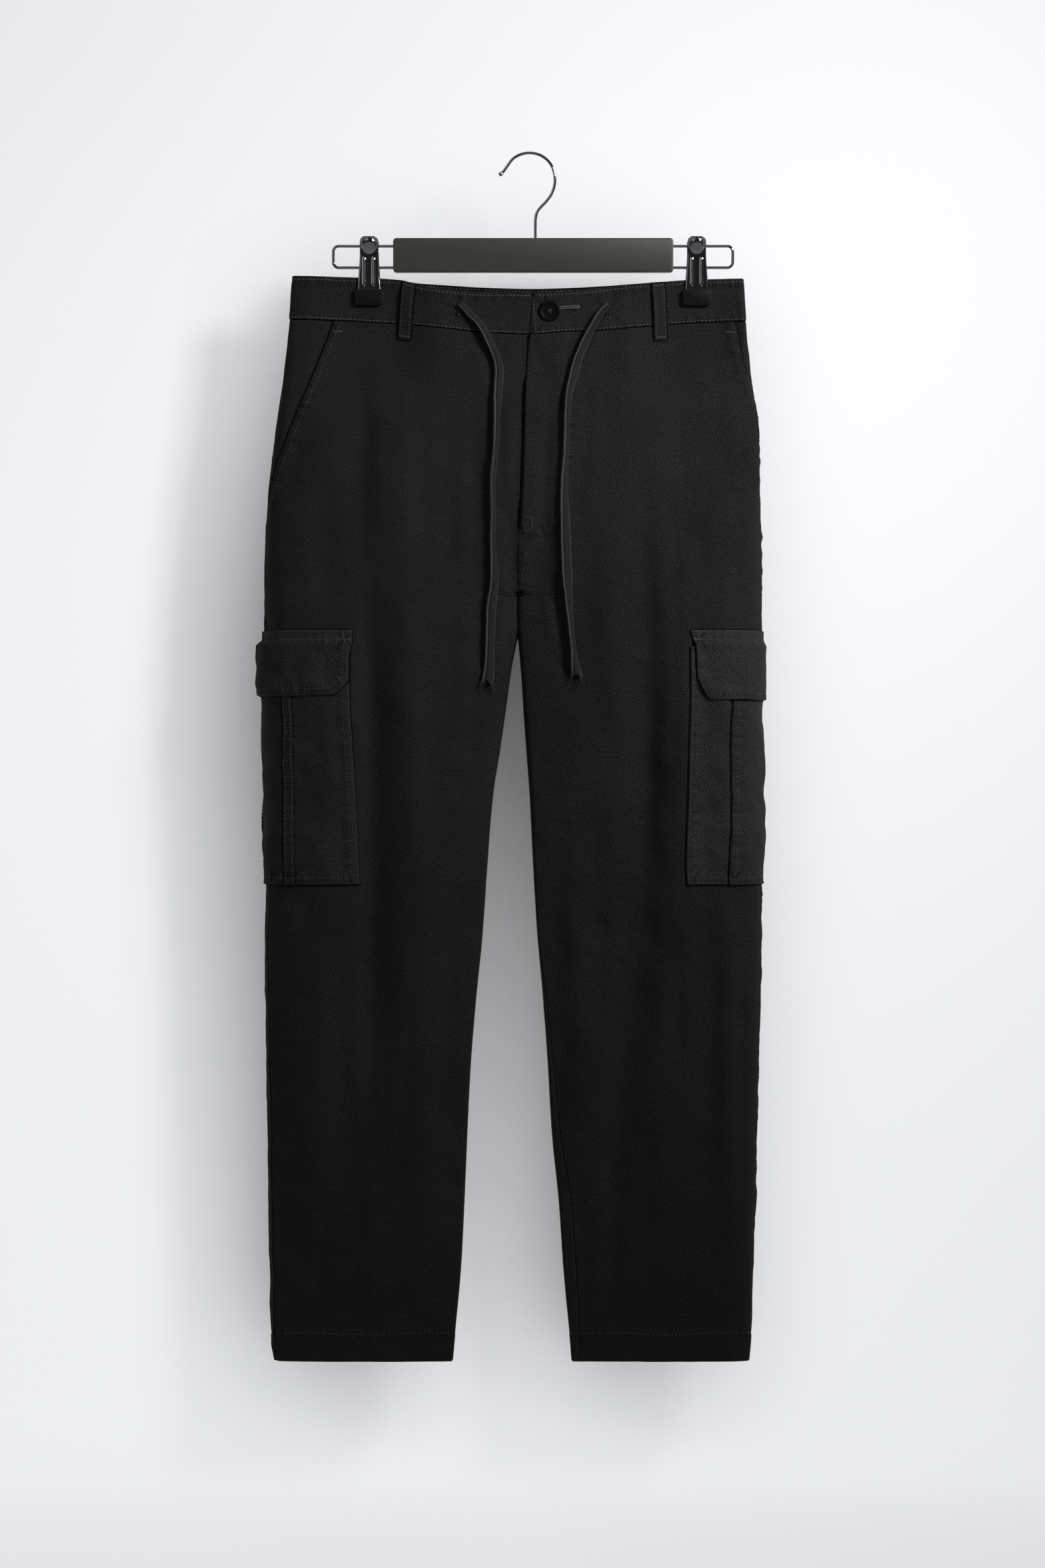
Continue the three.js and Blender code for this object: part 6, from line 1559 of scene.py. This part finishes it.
def bevelled(name, points, faces, radius, segments, material, nodes):
    """A solid whose sharp edges are rounded."""
    made = piece(name, points, faces, material)
    build = bmesh.new()
    build.from_mesh(made.data)
    bmesh.ops.remove_doubles(build, verts=build.verts, dist=1e-6)
    sharp = [edge for edge in build.edges if edge.calc_face_angle(0) > math.radians(30)]
    bmesh.ops.bevel(build, geom=sharp, offset=radius / 1000, segments=segments, profile=0.5, affect="EDGES")
    build.to_mesh(made.data)
    build.free()
    made.data.polygons.foreach_set("use_smooth", np.ones(len(made.data.polygons), bool))
    made.data.update()
    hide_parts(*nodes)


def prism(outline, back, front):
    """Points and faces of a flat outline in x and z, carried from one depth to another."""
    count = len(outline)
    points = [(x, y, z) for y in (back, front) for x, z in outline]
    faces = [[i, (i + 1) % count, (i + 1) % count + count, i + count] for i in range(count)]
    return points, faces + [list(range(count)), list(range(2 * count - 1, count - 1, -1))]


def round_outline(half_width, half_height, radii, x, z):
    """A rectangle with its own corner radii: top left, top right, bottom right, bottom left."""
    outline = []
    corners = ((-1, 1, 180), (1, 1, 90), (1, -1, 0), (-1, -1, -90))
    for (sx, sz, begin), r in zip(corners, radii):
        bend_x, bend_z = x + sx * (half_width - r), z + sz * (half_height - r)
        for a in np.radians(np.linspace(begin, begin - 90, 7)):
            outline.append((bend_x + r * math.cos(a), bend_z + r * math.sin(a)))
    return outline


bar_outline = round_outline(BAR_LENGTH / 2, BAR_HEIGHT / 2, (3, 3, 3, 3), BAR_X, BAR_Z)
points, faces = prism(bar_outline, BAR_DEPTH / 2, -BAR_DEPTH / 2)
bevelled("hanger_bar_moulding", points, faces, 1.1, 4, bar_abs, ["hanger_bar"])

# Clips
# Two pressed and chromed plates with a domed rivet and two ribs, sprung together over a bracket, and
# a rubber pad on the foot of each that grips the band.
PLATE_TOP = -77.8
PLATE_END = -127.5
PLATE_THICK = 1.2
RIVET_Z = -86.5
RIVET_RADIUS = 6.8
RIVET_HEIGHT = 2.4
RIB_OFF = 4.4
RIB_HEIGHT = 0.9
PAD_HALF = (13.5, 7.35)
PAD_Z = -135.15
PAD_DEPTHS = (3.9, 8.1)
BRACKET_HALF = (6, 15)
BRACKET_Z = -96.5
BRACKET_DEPTH = 4.2
PLATE_OUTLINE = table("z half stand", [
    (PLATE_TOP, 5.2, 8.4), (-79.8, 7.8, 7.6), (-83, 8.75, 6.2), (RIVET_Z, 8.75, 5.2), (-91, 8.75, 4.6),
    (-95.5, 8.8, 4.5), (-98, 8.9, 4.5), (-112, 9.8, 4.6), (PLATE_END, 11.2, 4.9),
])
for hand, x in zip(("right", "left"), CLIPS_X):
    for side, face in (("front", -1), ("back", 1)):
        heights = np.linspace(PLATE_TOP, PLATE_END, 70)[:, None]
        share = np.linspace(-1, 1, 49)
        half = read(PLATE_OUTLINE, "z", "half", heights)
        stand = read(PLATE_OUTLINE, "z", "stand", heights)
        off = share * half
        from_rivet = np.hypot(off, heights - RIVET_Z) / RIVET_RADIUS
        dome = RIVET_HEIGHT * np.sqrt(np.clip(1 - from_rivet ** 2, 0, 1))
        rib_run = ease((-96 - heights) / 3) * ease((heights + 125) / 3)
        rib = RIB_HEIGHT * rib_run * np.exp(-((np.abs(off) - RIB_OFF) / 1.1) ** 2)
        lip = 0.7 * ease((np.abs(share) - 0.9) / 0.1)
        out = stand + PLATE_THICK + np.maximum(dome, rib) - lip
        z = np.broadcast_to(heights, off.shape)
        outer = np.stack([x + off, face * out, z], -1)
        inner = np.stack([x + off, face * (stand + 0 * off), z], -1)
        points, faces = shell(outer, inner)
        plate = piece(f"clip_plate_{side}_{hand}_pressed", points, faces, chrome_plate)
        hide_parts(f"clip_plate_{side}_{hand}")
        pad_outline = round_outline(*PAD_HALF, (1, 1, 4, 4), x, PAD_Z)
        points, faces = prism(pad_outline, *(face * depth for depth in PAD_DEPTHS))
        bevelled(f"clip_pad_{side}_{hand}_moulded", points, faces, 0.8, 3, rubber_pad,
                 [f"clip_pad_{side}_{hand}"])
    core_outline = round_outline(*BRACKET_HALF, (2, 2, 2, 2), x, BRACKET_Z)
    points, faces = prism(core_outline, BRACKET_DEPTH, -BRACKET_DEPTH)
    bevelled(f"clip_bracket_{hand}", points, faces, 0.7, 3, chrome_plate, [f"clip_core_{hand}"])

# Studio
# A pale paper sweep that curves up from the floor behind the garment, large soft lights in front,
# and a pale room around. From behind, the sweep lets the view through.
FLOOR_Z = -1.42
SWEEP_Y = 0.085
SWEEP_RADIUS = 0.16
SWEEP_HALF = 7.0
SHADOW_REACH = 0.14
LIGHTS_AIM = (0, 0, -0.28)
ROOM_LIGHT = 0.04
profile = [(-SWEEP_HALF, FLOOR_Z)]
for a in np.radians(np.linspace(0, 90, 24)):
    away = SWEEP_Y - SWEEP_RADIUS + SWEEP_RADIUS * math.sin(a)
    profile.append((away, FLOOR_Z + SWEEP_RADIUS * (1 - math.cos(a))))
profile.append((SWEEP_Y, 5.0))
sweep_mesh = bpy.data.meshes.new("paper sweep")
sweep_points = [(side * SWEEP_HALF, y, z) for y, z in profile for side in (-1, 1)]
sweep_faces = [[2 * i, 2 * i + 1, 2 * i + 3, 2 * i + 2] for i in range(len(profile) - 1)]
sweep_mesh.from_pydata(sweep_points, [], sweep_faces)
sweep_mesh.polygons.foreach_set("use_smooth", np.ones(len(sweep_mesh.polygons), bool))
sweep = bpy.data.objects.new("paper sweep", sweep_mesh)
bpy.context.collection.objects.link(sweep)

# Matt paper that mostly glows by itself, so that the ground is even and pale with no hot spot
sweep_paper, sweep_output = new_material("matt white paper")
paper_shader = node(sweep_paper, "BsdfDiffuse", {"Color": linear("#9c9c9e")})
paper_side = node(sweep_paper, "NewGeometry", {})
paper_place = node(sweep_paper, "SeparateXYZ", {0: paper_side.outputs["Position"]})
paper_even = node(sweep_paper, "MapRange", {
    "Value": paper_place.outputs["Z"], "From Min": -1.2, "From Max": 0.1, "To Min": 0.80, "To Max": 0.72})
paper_foot = node(sweep_paper, "MapRange", {
    "Value": paper_place.outputs["Z"], "From Min": FLOOR_Z - 0.02, "From Max": FLOOR_Z + 0.06})
# The paper glows less where the garment hides it from the key light, as a soft shadow
paper_aim = node(sweep_paper, "CombineXYZ", {"X": 0.56, "Y": -0.7, "Z": 0.44})
paper_hidden = node(sweep_paper, "AmbientOcclusion", {
    "Distance": SHADOW_REACH, "Normal": paper_aim.outputs[0]}, samples=4)
paper_shadow = node(sweep_paper, "MapRange", {
    "Value": paper_hidden.outputs["AO"], "From Min": 0.35, "From Max": 0.92, "To Min": 0.05})
paper_lit = node(sweep_paper, "Math", {
    0: paper_even.outputs[0], 1: paper_foot.outputs[0]}, operation="MULTIPLY")
paper_strength = node(sweep_paper, "Math", {
    0: paper_lit.outputs[0], 1: paper_shadow.outputs[0]}, operation="MULTIPLY")
paper_glow = node(sweep_paper, "Emission", {
    "Color": linear("#f3f4f6"), "Strength": paper_strength.outputs[0]})
paper_sum = node(sweep_paper, "AddShader", {0: paper_shader.outputs[0], 1: paper_glow.outputs[0]})
paper_clear = node(sweep_paper, "BsdfTransparent", {})
paper_mix = node(sweep_paper, "MixShader", {
    0: paper_side.outputs["Backfacing"], 1: paper_sum.outputs[0], 2: paper_clear.outputs[0]})
sweep_paper.node_tree.links.new(paper_mix.outputs[0], sweep_output.inputs["Surface"])
sweep_mesh.materials.append(sweep_paper)

# Name, place, width in metres, power in watts and spread in degrees
LIGHTS = [
    ("key softbox", (1.25, -1.3, 0.55), 0.45, 4.6, 60),
    ("fill softbox", (-1.2, -2.0, 0.7), 1.2, 1.9, 110),
    ("top softbox", (0.0, -0.6, 1.5), 0.8, 1.2, 120),
    ("back softbox", (-0.8, 3.4, 0.6), 2.4, 20.0, 180),
]
for name, where, size, power, spread in LIGHTS:
    lamp = bpy.data.lights.new(name, "AREA")
    lamp.size, lamp.energy, lamp.spread = size, power, math.radians(spread)
    light = bpy.data.objects.new(name, lamp)
    light.location = where
    light.rotation_euler = (Vector(LIGHTS_AIM) - Vector(where)).to_track_quat("-Z", "Y").to_euler()
    bpy.context.collection.objects.link(light)

world = bpy.data.worlds.new("pale room")
world.use_nodes = True
world.node_tree.nodes["Background"].inputs["Color"].default_value = linear("#eeeff2")
world.node_tree.nodes["Background"].inputs["Strength"].default_value = ROOM_LIGHT
bpy.context.scene.world = world
